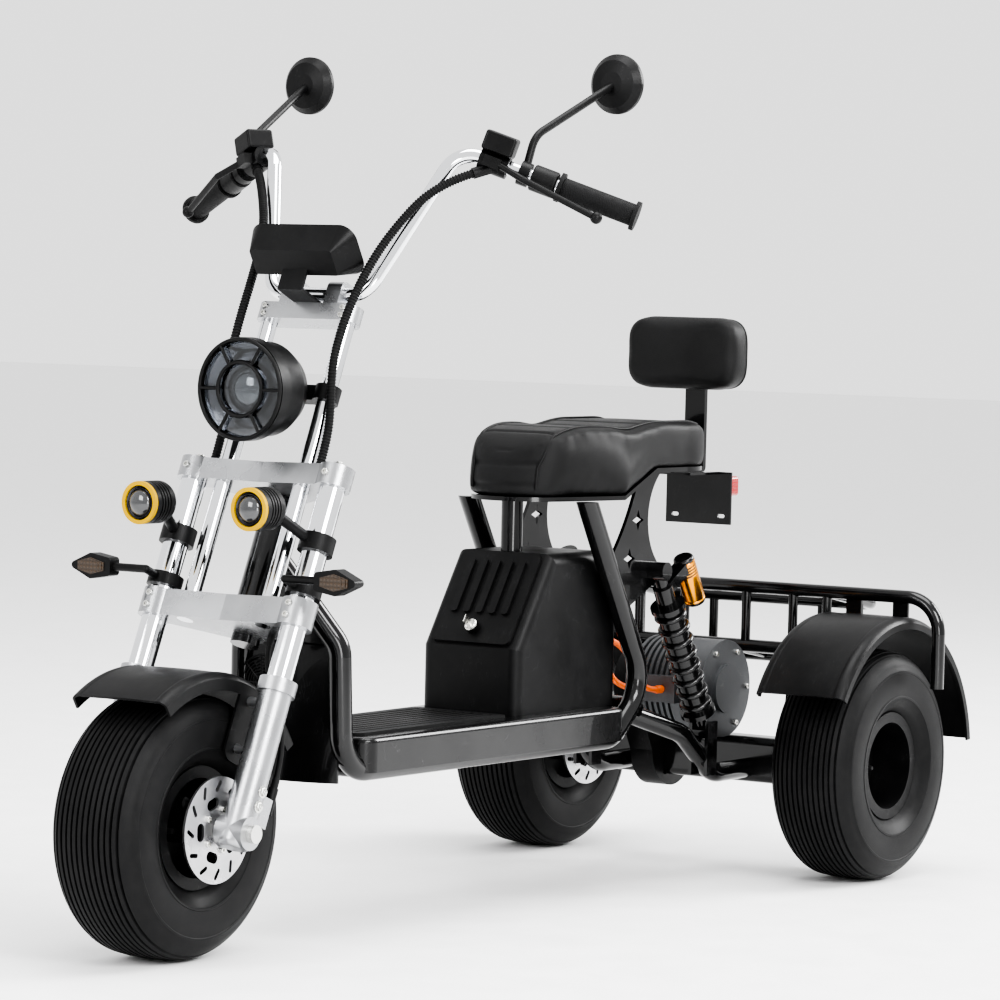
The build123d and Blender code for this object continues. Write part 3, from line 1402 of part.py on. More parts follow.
def rear_rack():
    """A hoop over both mudguards that carries a tilted tray of tubes and slats."""
    half = tray_half_width
    tubes = [bent_tube([
        (rack_x, -rack_half_width, rack_leg_z),
        (rack_x, -rack_half_width, rack_top_z),
        (rack_x, rack_half_width, rack_top_z),
        (rack_x, rack_half_width, rack_leg_z),
    ], [rack_bend_radius] * 2, rack_tube_radius)]
    for height, radius in ((rack_top_z, tray_rail_radius), (rack_floor_z, tray_rail_radius - 0.5)):
        tubes.append(bent_tube([
            (rack_x, -half, height),
            (tray_rear_x, -half, height - tray_drop),
            (tray_rear_x, half, height - tray_drop),
            (rack_x, half, height),
        ], [tray_bend_radius] * 2, radius))
    reach = half + rack_tube_radius
    tubes.append(cross_bar(rack_tube_radius, -reach, reach, rack_x, rack_floor_z))
    # Posts between floor and top rail: share of the tray's length behind the hoop, share of its half width
    posts = ((0, 0.28), (0, 0.7), (0, 1), (0.62, 1), (1, 0.5))
    for share, across in posts:
        x = rack_x - share * tray_length
        low = rack_floor_z - share * tray_drop
        high = rack_top_z - share * tray_drop
        for side in sides:
            y = side * across * half
            tubes.append(rod((x, y, low), (x, y, high), rack_post_radius))
    tab_low = axle_height + rear_guard_radius - 2 * rack_tab_width
    for side in sides:
        strut_y = side * rack_strut_y
        foot = (rear_x - axle_beam_depth / 3, strut_y, beam_z)
        tubes.append(rod(foot, (rack_x, strut_y, rack_floor_z), rack_strut_radius))
        for across in (-rack_tab_half_spacing, rack_tab_half_spacing):
            tab = Box(rack_tab_thickness, rack_tab_width, rack_top_z - tab_low)
            tubes.append(Pos(rack_x, side * wheel_half_track + across, (tab_low + rack_top_z) / 2) * tab)
    for index in range(tray_slat_count):
        y = (index - (tray_slat_count - 1) / 2) * 2 * half / tray_slat_count
        tubes.append(rod((rack_x, y, rack_floor_z), (tray_rear_x, y, rack_floor_z - tray_drop), tray_slat_radius))
    rack = joined(tubes)
    section = Pos(0.75 * rear_guard_radius + seat_gap, 0) * Rectangle(rear_guard_radius / 2, rear_guard_width)
    guard = wheel_arch(section, rear_guard_front, rear_guard_rear)
    for side in sides:
        rack -= Pos(rear_x, side * wheel_half_track, axle_height) * guard
    beam = Box(axle_beam_depth + 2 * seat_gap, 2 * axle_beam_half, axle_beam_height + 2 * seat_gap)
    rack -= Pos(rear_x, 0, beam_z) * beam
    return rack.solids().sort_by(SortBy.VOLUME)[-1]


def add_rear_guards_and_rack():
    """Rear mudguards, rack, plate bracket and tail lamp."""
    section = guard_section(rear_guard_radius, rear_guard_width / 2, rear_guard_skirt)
    arch = wheel_arch(section, rear_guard_front, rear_guard_rear)
    for side, name in zip(sides, side_names):
        nodes[f"rear_mudguard_{name}"] = Pos(rear_x, side * wheel_half_track, axle_height) * arch
    nodes["rear_rack"] = rear_rack()
    nodes["plate_bracket"] = plate_bracket()
    lamp = Box(tail_lamp_depth, 1.9 * plate_bracket_half, tail_lamp_height)
    lamp = fillet(lamp.edges(), tail_lamp_height / 6)
    lamp_x = plate_bracket_x - guard_wall / 2 - seat_gap - tail_lamp_depth / 2
    nodes["tail_lamp"] = Pos(lamp_x, 0, bracket_top() - tail_lamp_height * 0.7) * lamp


def bracket_top():
    """The height of the plate bracket's top, under the backrest post's flat run."""
    return seat_pan_rear_z - seat_pan_thickness - backrest_post_thickness - 2 * seat_gap


def plate_bracket():
    """The blank plate bracket behind the seat, with its flange and two slots."""
    top = bracket_top()
    low = top - plate_bracket_height
    plate = Box(guard_wall, 2 * plate_bracket_half, plate_bracket_height)
    plate = Pos(plate_bracket_x, 0, (top + low) / 2) * plate
    flange_front = backrest_x - backrest_thickness / 2 + backrest_setback
    flange = Box(flange_front - plate_bracket_x, 2 * backrest_post_width, guard_wall)
    plate += Pos((flange_front + plate_bracket_x) / 2, 0, top - guard_wall / 2) * flange
    slot = extrude(SlotOverall(plate_slot_length, plate_slot_width), 4 * guard_wall, both=True)
    for side in sides:
        place = Pos(plate_bracket_x, side * plate_slot_spacing / 2, low + plate_slot_length)
        plate -= place * Rot(0, 90, 0) * Rot(0, 0, 90) * slot
    return plate


def main():
    """Builds every piece, moves it to the model's origin and writes one file for each."""
    add_front_wheel()
    add_rear_wheels()
    add_fork()
    add_handlebar()
    add_fork_lamps()
    add_front_guard()
    add_fork_cables()
    add_frame()
    add_battery_box()
    add_seat()
    add_rear_axle()
    add_rear_guards_and_rack()
    os.makedirs("parts", exist_ok=True)
    for name, piece in nodes.items():
        export_step(Pos(origin_shift, 0, 0) * piece, os.path.join("parts", f"{name}.step"))


if __name__ == "__main__":
    main()
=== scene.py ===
"""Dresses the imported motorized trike: finishes, tyres, soft goods, cords and fittings, then the studio."""

import json
import logging
import math
from collections.abc import Sequence
from dataclasses import dataclass, field
from enum import Enum

import bmesh
import bpy
from mathutils import Matrix, Vector


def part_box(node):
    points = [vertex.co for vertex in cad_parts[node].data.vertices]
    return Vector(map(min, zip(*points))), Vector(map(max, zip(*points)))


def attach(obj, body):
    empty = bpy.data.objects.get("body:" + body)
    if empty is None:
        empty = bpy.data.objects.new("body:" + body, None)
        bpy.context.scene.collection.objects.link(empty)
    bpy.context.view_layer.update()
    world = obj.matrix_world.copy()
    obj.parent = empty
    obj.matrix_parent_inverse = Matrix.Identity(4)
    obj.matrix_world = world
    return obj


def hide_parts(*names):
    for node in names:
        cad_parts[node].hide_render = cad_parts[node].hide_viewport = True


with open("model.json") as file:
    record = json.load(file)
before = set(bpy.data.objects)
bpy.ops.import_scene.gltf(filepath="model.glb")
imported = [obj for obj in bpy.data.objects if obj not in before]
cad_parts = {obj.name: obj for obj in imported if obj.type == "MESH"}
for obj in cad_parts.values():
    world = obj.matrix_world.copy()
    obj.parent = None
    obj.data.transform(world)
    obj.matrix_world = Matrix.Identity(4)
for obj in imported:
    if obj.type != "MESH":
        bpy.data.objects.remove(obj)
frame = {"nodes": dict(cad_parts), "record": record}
log = logging.getLogger("trike")

Point = tuple[float, float, float]
Colour = tuple[float, float, float]
Profile = Sequence[tuple[float, float]]
Materials = dict[str, bpy.types.Material]
Piece = bpy.types.Object
Socket = bpy.types.NodeSocket
Number = Socket | float
Tint = Socket | Colour

FRONT_AXLE = Vector((0.74775, 0.0, 0.1905))
REAR_AXLE = Vector((-0.70425, 0.0, 0.1905))
FORK_RAKE = math.radians(23.7)
FORK = Matrix.Translation(FRONT_AXLE) @ Matrix.Rotation(-FORK_RAKE, 4, "Y")
ALONG_Y = Matrix.Rotation(-math.pi / 2, 4, "X")
ALONG_X = Matrix.Rotation(math.pi / 2, 4, "Y")
FLIP = Matrix.Rotation(math.pi, 4, "X")
SIDES = ((1, "left"), (-1, "right"))
MILLIMETRES = 1000
SHARP_ANGLE = math.radians(38)
MERGE_DISTANCE = 1e-6
UNIT = (0.0, 1.0)
DUST_COLOUR = (0.2, 0.19, 0.175, 1.0)
WEAR_COLOUR = (0.34, 0.34, 0.35, 1.0)


def at(x: float, y: float, z: float) -> Matrix:
    """Returns the place at a point of the row frame, in metres."""
    return Matrix.Translation((x, y, z))


def on_fork(forward: float, left: float, up: float) -> Matrix:
    """Returns the place at a point measured in millimetres along the fork's own directions."""
    return FORK @ at(forward / MILLIMETRES, left / MILLIMETRES, up / MILLIMETRES)


def row_point(x: float, y: float, z: float) -> Vector:
    """Returns the row-frame point of one measured in millimetres from the front axle's ground point."""
    return Vector((x / MILLIMETRES + FRONT_AXLE.x, y / MILLIMETRES, z / MILLIMETRES))


def aimed(start: Vector, end: Vector) -> Matrix:
    """Returns the place at start whose Z axis points to end."""
    turn = (end - start).to_track_quat("Z", "Y").to_matrix().to_4x4()
    return Matrix.Translation(start) @ turn


def spun(step: float, count: int, axis: str) -> Matrix:
    """Returns the turn about an axis to one step of an even count round a circle."""
    return Matrix.Rotation(2 * math.pi * step / count, 4, axis)


def scaled(profile: Profile, across: float, along: float = 1.0) -> list[tuple[float, float]]:
    """Returns a profile with its radii and heights multiplied."""
    return [(radius * across, height * along) for radius, height in profile]


def linked(name: str, data: bpy.types.ID) -> Piece:
    """Makes an object of some data and puts it in the scene.

    Args:
        name: the object's name.
        data: its mesh, curve, light or camera.

    Returns:
        The new object.
    """
    piece = bpy.data.objects.new(name, data)
    bpy.context.scene.collection.objects.link(piece)
    return piece


class Relief(Enum):
    """The fine relief that a finish shows, each made by one shader group."""

    GRAIN = "Grain"
    HIDE = "Hide"
    RINGS = "Rings"
    BRAID = "Braid"
    PRISM = "Prism"


class Mask(Enum):
    """What lies over a finish, each made by one shader group."""

    SMUDGE = "Smudge"
    SCRATCH = "Scratch"
    DUST = "Dust"


class Graph:
    """A small builder of shader nodes."""

    def __init__(self, tree: bpy.types.NodeTree) -> None:
        """Keeps the node tree that nodes are added to."""
        self.tree = tree

    def add(self, kind: str, inputs: dict | None = None, **settings: object) -> bpy.types.Node:
        """Adds one node.

        Args:
            kind: the node's type name.
            inputs: constants or sockets to feed, by input name or index.
            settings: the node's own properties.

        Returns:
            The new node.
        """
        node = self.tree.nodes.new(kind)
        for name, value in settings.items():
            setattr(node, name, value)
        for key, value in (inputs or {}).items():
            if isinstance(value, Socket):
                self.tree.links.new(value, node.inputs[key])
            else:
                node.inputs[key].default_value = value
        return node

    def math(self, operation: str, first: Number, second: Number = 0.0) -> Socket:
        """Returns the result of one math node on two values or sockets."""
        return self.add("ShaderNodeMath", {0: first, 1: second}, operation=operation).outputs[0]

    def span(self, value: Socket, source: tuple[float, float], target: tuple[float, float] = UNIT) -> Socket:
        """Returns a value moved from the source range to the target range, held at its ends."""
        ends = zip(("From Min", "From Max", "To Min", "To Max"), (*source, *target))
        return self.add("ShaderNodeMapRange", {"Value": value, **dict(ends)}).outputs["Result"]

    def mix(self, factor: Socket, first: Tint, second: Tint) -> Socket:
        """Returns a colour mixed from two by a factor."""
        return self.add("ShaderNodeMix", {0: factor, 6: first, 7: second}, data_type="RGBA").outputs[2]

    def noise(self, vector: Socket, scale: Socket, detail: float) -> Socket:
        """Returns a noise value at a vector."""
        values = {"Vector": vector, "Scale": scale, "Detail": detail}
        return self.add("ShaderNodeTexNoise", values).outputs["Fac"]

    def shared(self, effect: Relief | Mask, vector: Socket, scale: float) -> Socket:
        """Returns the output of a shared effect group."""
        values = {"Vector": vector, "Scale": scale}
        return self.add("ShaderNodeGroup", values, node_tree=bpy.data.node_groups[effect.value]).outputs[0]


class Effect(Graph):
    """A shader group that the finishes share, with the coordinates and the scale that it is given."""

    PEBBLE_EDGE = 0.22
    PEBBLE_GRAIN = 0.4
    SMUDGE_RANGE = (0.36, 0.66)
    HAIR_TURN = (0.4, 0.9, 0.3)
    HAIR_STRETCH = (1.0, 7.0, 1.6)
    HAIR_WIDTH = 0.006
    HAIR_PATCH = (0.5, 0.62)
    DUST_RANGE = (0.42, 0.75)
    DUST_SHARE = 0.5

    def __init__(self, name: str) -> None:
        """Starts a group with its sockets.

        Args:
            name: the group's name.
        """
        super().__init__(bpy.data.node_groups.new(name, "ShaderNodeTree"))
        sockets = self.tree.interface
        sockets.new_socket(name="Vector", in_out="INPUT", socket_type="NodeSocketVector")
        sockets.new_socket(name="Scale", in_out="INPUT", socket_type="NodeSocketFloat")
        sockets.new_socket(name="Value", in_out="OUTPUT", socket_type="NodeSocketFloat")
        given = self.add("NodeGroupInput").outputs
        self.vector = given["Vector"]
        self.scale = given["Scale"]

    @classmethod
    def build_all(cls) -> None:
        """Makes every group once."""
        makers = ((Relief.GRAIN, cls.grain), (Relief.HIDE, cls.hide), (Relief.RINGS, cls.rings),
                  (Relief.BRAID, cls.braid), (Relief.PRISM, cls.prism), (Mask.SMUDGE, cls.smudge),
                  (Mask.SCRATCH, cls.scratch), (Mask.DUST, cls.dust))
        for kind, make in makers:
            effect = cls(kind.value)
            effect.add("NodeGroupOutput", {0: make(effect)})

    def speckle(self, detail: float) -> Socket:
        """Returns noise at the given coordinates and scale."""
        return self.noise(self.vector, self.scale, detail)

    def parts(self) -> Sequence[Socket]:
        """Returns the given coordinates one by one."""
        return self.add("ShaderNodeSeparateXYZ", {0: self.vector}).outputs

    def grain(self) -> Socket:
        """Returns fine even noise, as of powder coat or moulded plastic."""
        return self.speckle(detail=3.0)

    def hide(self) -> Socket:
        """Returns pebbles parted by creases, as of leather.

        Returns:
            The relief's height.
        """
        values = {"Vector": self.vector, "Scale": self.scale}
        cells = self.add("ShaderNodeTexVoronoi", values, feature="DISTANCE_TO_EDGE")
        pebble = self.span(cells.outputs["Distance"], (0.0, self.PEBBLE_EDGE))
        return self.math("ADD", pebble, self.math("MULTIPLY", self.speckle(detail=4.0), self.PEBBLE_GRAIN))

    def rings(self) -> Socket:
        """Returns fine rings about the Y axis, as of a ground disc.

        Returns:
            The relief's height.
        """
        parts = self.parts()
        squares = [self.math("MULTIPLY", part, part) for part in (parts[0], parts[2])]
        reach = self.math("MULTIPLY", self.math("SQRT", self.math("ADD", *squares)), self.scale)
        values = {"W": reach, "Scale": 1.0, "Detail": 2.0}
        return self.add("ShaderNodeTexNoise", values, noise_dimensions="1D").outputs["Fac"]

    def braid(self) -> Socket:
        """Returns two crossed sets of bands, as of a woven sleeve.

        Returns:
            The relief's height.
        """
        parts = self.parts()
        up = self.math("ADD", parts[0], parts[2])
        slopes = [self.math(way, up, parts[1]) for way in ("ADD", "SUBTRACT")]
        bands = [self.math("SINE", self.math("MULTIPLY", slope, self.scale)) for slope in slopes]
        return self.span(self.math("MULTIPLY", *bands), (-1.0, 1.0))

    def prism(self) -> Socket:
        """Returns rows of small pyramids, as inside a moulded lens.

        Returns:
            The relief's height.
        """
        parts = self.parts()
        steps = [self.math("MULTIPLY", part, self.scale) for part in (parts[1], parts[2])]
        return self.math("MULTIPLY", *(self.math("PINGPONG", step, 1.0) for step in steps))

    def smudge(self) -> Socket:
        """Returns broad uneven patches, as of handling and polish."""
        return self.span(self.speckle(detail=5.0), self.SMUDGE_RANGE)

    def scratch(self) -> Socket:
        """Returns thin hairlines along the contours of a stretched noise.

        Returns:
            The mask.
        """
        turned = {"Vector": self.vector, "Rotation": self.HAIR_TURN, "Scale": self.HAIR_STRETCH}
        stretched = self.add("ShaderNodeMapping", turned).outputs[0]
        contour = self.math("SUBTRACT", self.noise(stretched, self.scale, 2.0), 0.5)
        line = self.span(self.math("ABSOLUTE", contour), (0.0, self.HAIR_WIDTH), (1.0, 0.0))
        return self.math("MULTIPLY", line, self.span(self.speckle(detail=1.0), self.HAIR_PATCH))

    def dust(self) -> Socket:
        """Returns patchy dust."""
        return self.span(self.speckle(detail=8.0), self.DUST_RANGE, (0.0, self.DUST_SHARE))


@dataclass(frozen=True)
class Finish:
    """A surface finish: two tones, gloss, fine relief, hairlines and dust."""

    name: str
    colour: Colour
    shade: Colour
    roughness: float
    metallic: float = 0.0
    coat: float = 0.0
    relief: Relief = Relief.GRAIN
    scale: float = 700.0
    strength: float = 0.1
    scratch: float = 0.0
    dust: float = 0.0
    spread: float = 0.06
    transmission: float = 0.0
    specular: float = 0.5
    centre: Point = (0.0, 0.0, 0.0)
    smudge_scale: float = 11.0
    scratch_scale: float = 22.0
    dust_scale: float = 60.0
    dust_roughness: float = 0.4
    bump_distance: float = 0.0006

    def build(self) -> bpy.types.Material:
        """Makes the finish's material from the shared effects.

        Returns:
            The new material.
        """
        material = bpy.data.materials.new(self.name)
        material.use_nodes = True
        graph = Graph(material.node_tree)
        shader = material.node_tree.nodes["Principled BSDF"]
        coordinates = graph.add("ShaderNodeTexCoord").outputs["Object"]
        moved = {"Vector": coordinates, "Location": tuple(-c for c in self.centre)}
        vector = graph.add("ShaderNodeMapping", moved).outputs[0]
        height = graph.shared(self.relief, vector, self.scale)
        smudge = graph.shared(Mask.SMUDGE, vector, self.smudge_scale)
        lines = graph.shared(Mask.SCRATCH, vector, self.scratch_scale)
        hairline = graph.math("MULTIPLY", lines, self.scratch)
        dust = graph.math("MULTIPLY", graph.shared(Mask.DUST, vector, self.dust_scale), self.dust)
        tone = graph.mix(graph.math("MULTIPLY", smudge, height), (*self.colour, 1.0), (*self.shade, 1.0))
        worn = graph.mix(hairline, tone, WEAR_COLOUR)
        gloss = graph.span(smudge, UNIT, (self.roughness - self.spread, self.roughness + self.spread))
        relief = {"Height": height, "Strength": self.strength, "Distance": self.bump_distance}
        dulled = graph.math("MULTIPLY", dust, self.dust_roughness)
        links = {"Base Color": graph.mix(dust, worn, DUST_COLOUR),
                 "Roughness": graph.math("ADD", gloss, dulled),
                 "Normal": graph.add("ShaderNodeBump", relief).outputs[0]}
        for name, socket in links.items():
            graph.tree.links.new(socket, shader.inputs[name])
        shader.inputs["Metallic"].default_value = self.metallic
        shader.inputs["Coat Weight"].default_value = self.coat
        shader.inputs["Transmission Weight"].default_value = self.transmission
        shader.inputs["Specular IOR Level"].default_value = self.specular
        return material


class Palette:
    """Every finish of the trike, built once and given to the CAD nodes by slot."""

    FINISHES = (
        Finish("tyre_rubber", (0.005, 0.005, 0.0053), (0.011, 0.011, 0.0115), 0.52, scale=1100.0,
               strength=0.3, dust=0.03, specular=0.18),
        Finish("frame_black", (0.003, 0.003, 0.0032), (0.006, 0.006, 0.0065), 0.15, coat=0.3, specular=0.35,
               scale=420.0, strength=0.05, scratch=0.06, dust=0.015),
        Finish("silver_paint", (0.36, 0.365, 0.375), (0.46, 0.465, 0.475), 0.3, metallic=0.9, coat=0.15,
               scale=2600.0, strength=0.12, scratch=0.25, dust=0.06),
        Finish("chrome", (0.8, 0.81, 0.83), (0.7, 0.71, 0.73), 0.08, metallic=1.0, scale=300.0,
               strength=0.01, scratch=0.2, spread=0.05),
        Finish("disc_steel", (0.52, 0.52, 0.53), (0.66, 0.66, 0.67), 0.28, metallic=1.0,
               relief=Relief.RINGS, scale=2600.0, strength=0.35, scratch=0.2, centre=tuple(FRONT_AXLE)),
        Finish("rear_disc_steel", (0.5, 0.5, 0.51), (0.64, 0.64, 0.65), 0.3, metallic=1.0,
               relief=Relief.RINGS, scale=2600.0, strength=0.35, scratch=0.2, centre=tuple(REAR_AXLE)),
        Finish("caliper_black", (0.004, 0.004, 0.0043), (0.009, 0.009, 0.0095), 0.42, scale=1400.0,
               strength=0.3, scratch=0.1, dust=0.03, specular=0.2),
        Finish("black_plastic", (0.004, 0.004, 0.0042), (0.008, 0.008, 0.0085), 0.4, scale=1500.0,
               strength=0.2, scratch=0.06, dust=0.02, specular=0.2),
        Finish("gloss_plastic", (0.003, 0.003, 0.0032), (0.006, 0.006, 0.0065), 0.24, coat=0.25,
               specular=0.25, scale=500.0, strength=0.05, scratch=0.08, dust=0.015),
        Finish("leather", (0.006, 0.006, 0.0062), (0.012, 0.012, 0.0123), 0.46, relief=Relief.HIDE,
               scale=620.0, strength=0.25, dust=0.01, specular=0.18),
        Finish("rubber", (0.005, 0.005, 0.0052), (0.01, 0.01, 0.0105), 0.58, scale=1800.0, strength=0.3,
               dust=0.03, specular=0.2),
        Finish("lamp_glass", (0.86, 0.9, 0.94), (0.95, 0.97, 1.0), 0.05, relief=Relief.PRISM, scale=260.0,
               strength=0.04, spread=0.03, transmission=1.0),
        Finish("motor_metal", (0.1, 0.103, 0.108), (0.16, 0.165, 0.17), 0.46, metallic=0.85, scale=900.0,
               strength=0.4, scratch=0.2, dust=0.15),
        Finish("orange_cable", (0.75, 0.11, 0.008), (0.9, 0.2, 0.02), 0.42, relief=Relief.BRAID,
               scale=2400.0, strength=0.4, dust=0.05),
        Finish("gold_anodised", (0.85, 0.33, 0.02), (0.95, 0.45, 0.05), 0.22, metallic=1.0, scale=1500.0,
               strength=0.06, scratch=0.25),
        Finish("red_lens", (0.3, 0.006, 0.006), (0.42, 0.012, 0.01), 0.16, coat=0.6, relief=Relief.PRISM,
               scale=320.0, strength=0.5),
        Finish("amber_lens", (0.025, 0.014, 0.006), (0.06, 0.03, 0.01), 0.16, coat=0.6, relief=Relief.PRISM,
               scale=320.0, strength=0.5),
        Finish("yellow_ring", (0.42, 0.25, 0.0), (0.5, 0.31, 0.0), 0.55, scale=1300.0, strength=0.1,
               specular=0.2, scratch=0.1),
        Finish("zinc", (0.6, 0.6, 0.58), (0.72, 0.71, 0.66), 0.26, metallic=1.0, scale=1600.0,
               strength=0.15, scratch=0.3),
        Finish("smoked_reflector", (0.06, 0.06, 0.065), (0.1, 0.1, 0.105), 0.16, metallic=1.0,
               relief=Relief.PRISM, scale=150.0, strength=0.25, spread=0.05),
        Finish("screen", (0.004, 0.005, 0.007), (0.01, 0.012, 0.016), 0.1, coat=0.8, scale=240.0,
               strength=0.01, scratch=0.2, spread=0.05),
        Finish("mirror_glass", (0.82, 0.84, 0.86), (0.76, 0.78, 0.8), 0.03, metallic=1.0, scale=60.0,
               strength=0.005, spread=0.02),
        Finish("lens_glass", (0.03, 0.031, 0.033), (0.06, 0.061, 0.064), 0.04, scale=90.0, strength=0.02,
               spread=0.02, transmission=0.2, coat=1.0),
        Finish("grip_rubber", (0.004, 0.004, 0.0042), (0.009, 0.009, 0.0095), 0.55, relief=Relief.BRAID,
               scale=1400.0, strength=0.7, specular=0.2),
        Finish("thread", (0.03, 0.03, 0.031), (0.055, 0.055, 0.056), 0.6, relief=Relief.BRAID, scale=5000.0,
               strength=0.5),
    )
    LOOKS = {
        "rear_disc_steel": ("rear_left_brake_disc", "rear_right_brake_disc"),
        "caliper_black": ("front_caliper", "rear_calipers", "fog_lamps", "gearbox", "lamp_bracket",
                          "front_rim", "rear_left_rim", "rear_right_rim"),
        "black_plastic": ("display", "mirrors", "headlight", "headlight_guard", "brake_controls",
                          "turn_signals"),
        "gloss_plastic": ("leg_shield",),
        "zinc": ("front_axle",),
        "grip_rubber": ("grips",),
    }

    def __init__(self) -> None:
        """Builds the materials."""
        self.materials = {finish.name: finish.build() for finish in self.FINISHES}

    def dress_nodes(self) -> None:
        """Gives every CAD node the finish of its slot, or the one that LOOKS names for it."""
        looks = {part["node"]: part["material_slot"] for part in frame["record"]["subparts"]}
        looks.update((node, look) for look, nodes in self.LOOKS.items() for node in nodes)
        for name, node in frame["nodes"].items():
            material = self.materials[looks[name]]
            if not node.material_slots:
                node.data.materials.append(material)
            for slot in node.material_slots:
                slot.material = material
            log.info("node %s takes %s", name, material.name)


class Shape:
    """One piece under construction, made with mesh operators."""

    WIRE = tuple((math.cos(2 * math.pi * k / 10), math.sin(2 * math.pi * k / 10)) for k in range(10))
    BOLT = ((1.45, 0.25, 24, 0.06), (1.0, 1.0, 6, 0.14), (0.52, 1.35, 16, 0.12))
    SCREW = ((0.0, 0.4), (0.5, 0.4), (0.5, 1.0), (0.9, 1.0), (1.0, 0.88), (1.0, 0.0), (0.0, 0.0))

    def __init__(self, name: str) -> None:
        """Starts an empty mesh."""
        self.name = name
        self.mesh = bmesh.new()

    def fresh(self, known: set[bmesh.types.BMVert]) -> list[bmesh.types.BMVert]:
        """Returns the vertices that weren't known before."""
        return [vert for vert in self.mesh.verts if vert not in known]

    def move(self, known: set[bmesh.types.BMVert], matrix: Matrix) -> None:
        """Moves the vertices that weren't known before by a matrix."""
        bmesh.ops.transform(self.mesh, matrix=matrix, verts=self.fresh(known))

    def lathe(self, profile: Profile, matrix: Matrix, steps: int = 40, closed: bool = False) -> None:
        """Spins a profile of radius and height fully about Z.

        Args:
            profile: the points as (radius, height), in metres.
            matrix: where the turned form goes.
            steps: how many segments go round.
            closed: whether the last point joins the first.
        """
        known = set(self.mesh.verts)
        line = [self.mesh.verts.new((radius, 0.0, height)) for radius, height in profile]
        ends = line[1:] + line[:1] if closed else line[1:]
        edges = [self.mesh.edges.new(pair) for pair in zip(line, ends)]
        bmesh.ops.spin(self.mesh, geom=line + edges, cent=(0, 0, 0), axis=(0, 0, 1), angle=2 * math.pi,
                       steps=steps, use_merge=True)
        bmesh.ops.remove_doubles(self.mesh, verts=self.fresh(known), dist=MERGE_DISTANCE)
        self.move(known, matrix)

    def ring(self, radius: float, wire: float, matrix: Matrix, steps: int = 40) -> None:
        """Adds a round ring of round wire about Z."""
        section = [(radius + wire * across, wire * along) for across, along in self.WIRE]
        self.lathe(section, matrix, steps, closed=True)

    def bar(self, radius: float, length: float, matrix: Matrix, sides: int = 24, edge: float = 0.0) -> None:
        """Adds an upright bar that stands on its place.

        Args:
            radius: the bar's radius, to its corners.
            length: the bar's height along Z.
            matrix: where the middle of its foot goes.
            sides: how many sides it has, six for a nut.
            edge: the bevel on its end edges.
        """
        known = set(self.mesh.verts)
        bmesh.ops.create_cone(self.mesh, cap_ends=True, segments=sides, radius1=radius, radius2=radius,
                              depth=length, matrix=at(0, 0, length / 2))
        if edge:
            rims = [e for e in self.mesh.edges if e.verts[0] not in known
                    and abs(e.verts[0].co.z - e.verts[1].co.z) < MERGE_DISTANCE]
            self.bevel(rims, edge, 2)
        self.move(known, matrix)

    def block(self, size: Point, matrix: Matrix, edge: float) -> None:
        """Adds a box with rounded edges, centred on its place.

        Args:
            size: its three sides.
            matrix: where its middle goes.
            edge: the bevel on its edges.
        """
        known = set(self.mesh.verts)
        cube = bmesh.ops.create_cube(self.mesh, size=1.0)["verts"]
        bmesh.ops.scale(self.mesh, vec=size, verts=cube)
        self.bevel(list({e for v in cube for e in v.link_edges}), edge, 3)
        self.move(known, matrix)

    def bevel(self, edges: list[bmesh.types.BMEdge], offset: float, segments: int) -> None:
        """Rounds edges over."""
        bmesh.ops.bevel(self.mesh, geom=edges, offset=offset, segments=segments, profile=0.5, affect="EDGES",
                        material=-1)

    def bolt(self, radius: float, height: float, matrix: Matrix) -> None:
        """Adds a hex bolt head on a washer, with a turned shank end on its top."""
        for wide, tall, sides, edge in self.BOLT:
            self.bar(radius * wide, height * tall, matrix, sides, height * edge)

    def cap_screw(self, radius: float, height: float, matrix: Matrix) -> None:
        """Adds a socket-head screw with its socket."""
        self.lathe(scaled(self.SCREW, radius, height), matrix, 18)

    def finish(self, body: str, material: bpy.types.Material, slot: str, *nodes: str) -> Piece:
        """Closes the piece and parents it to its body's empty.

        Args:
            body: the CAD body that the piece moves with.
            material: its finish.
            slot: the record's slot that the finish belongs to; not used.
            nodes: the CAD nodes that it stands for.

        Returns:
            The finished object.
        """
        bmesh.ops.remove_doubles(self.mesh, verts=self.mesh.verts, dist=MERGE_DISTANCE)
        bmesh.ops.recalc_face_normals(self.mesh, faces=self.mesh.faces)
        for face in self.mesh.faces:
            face.smooth = True
        data = bpy.data.meshes.new(self.name)
        self.mesh.to_mesh(data)
        self.mesh.free()
        data.set_sharp_from_angle(angle=SHARP_ANGLE)
        data.materials.append(material)
        piece = linked(self.name, data)
        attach(piece, body)
        if nodes:
            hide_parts(*nodes)
        log.info("piece %s rides on %s with %d faces", self.name, body, len(data.polygons))
        return piece


@dataclass
class Assembly:
    """A group of pieces that takes its finishes from the palette."""

    materials: Materials


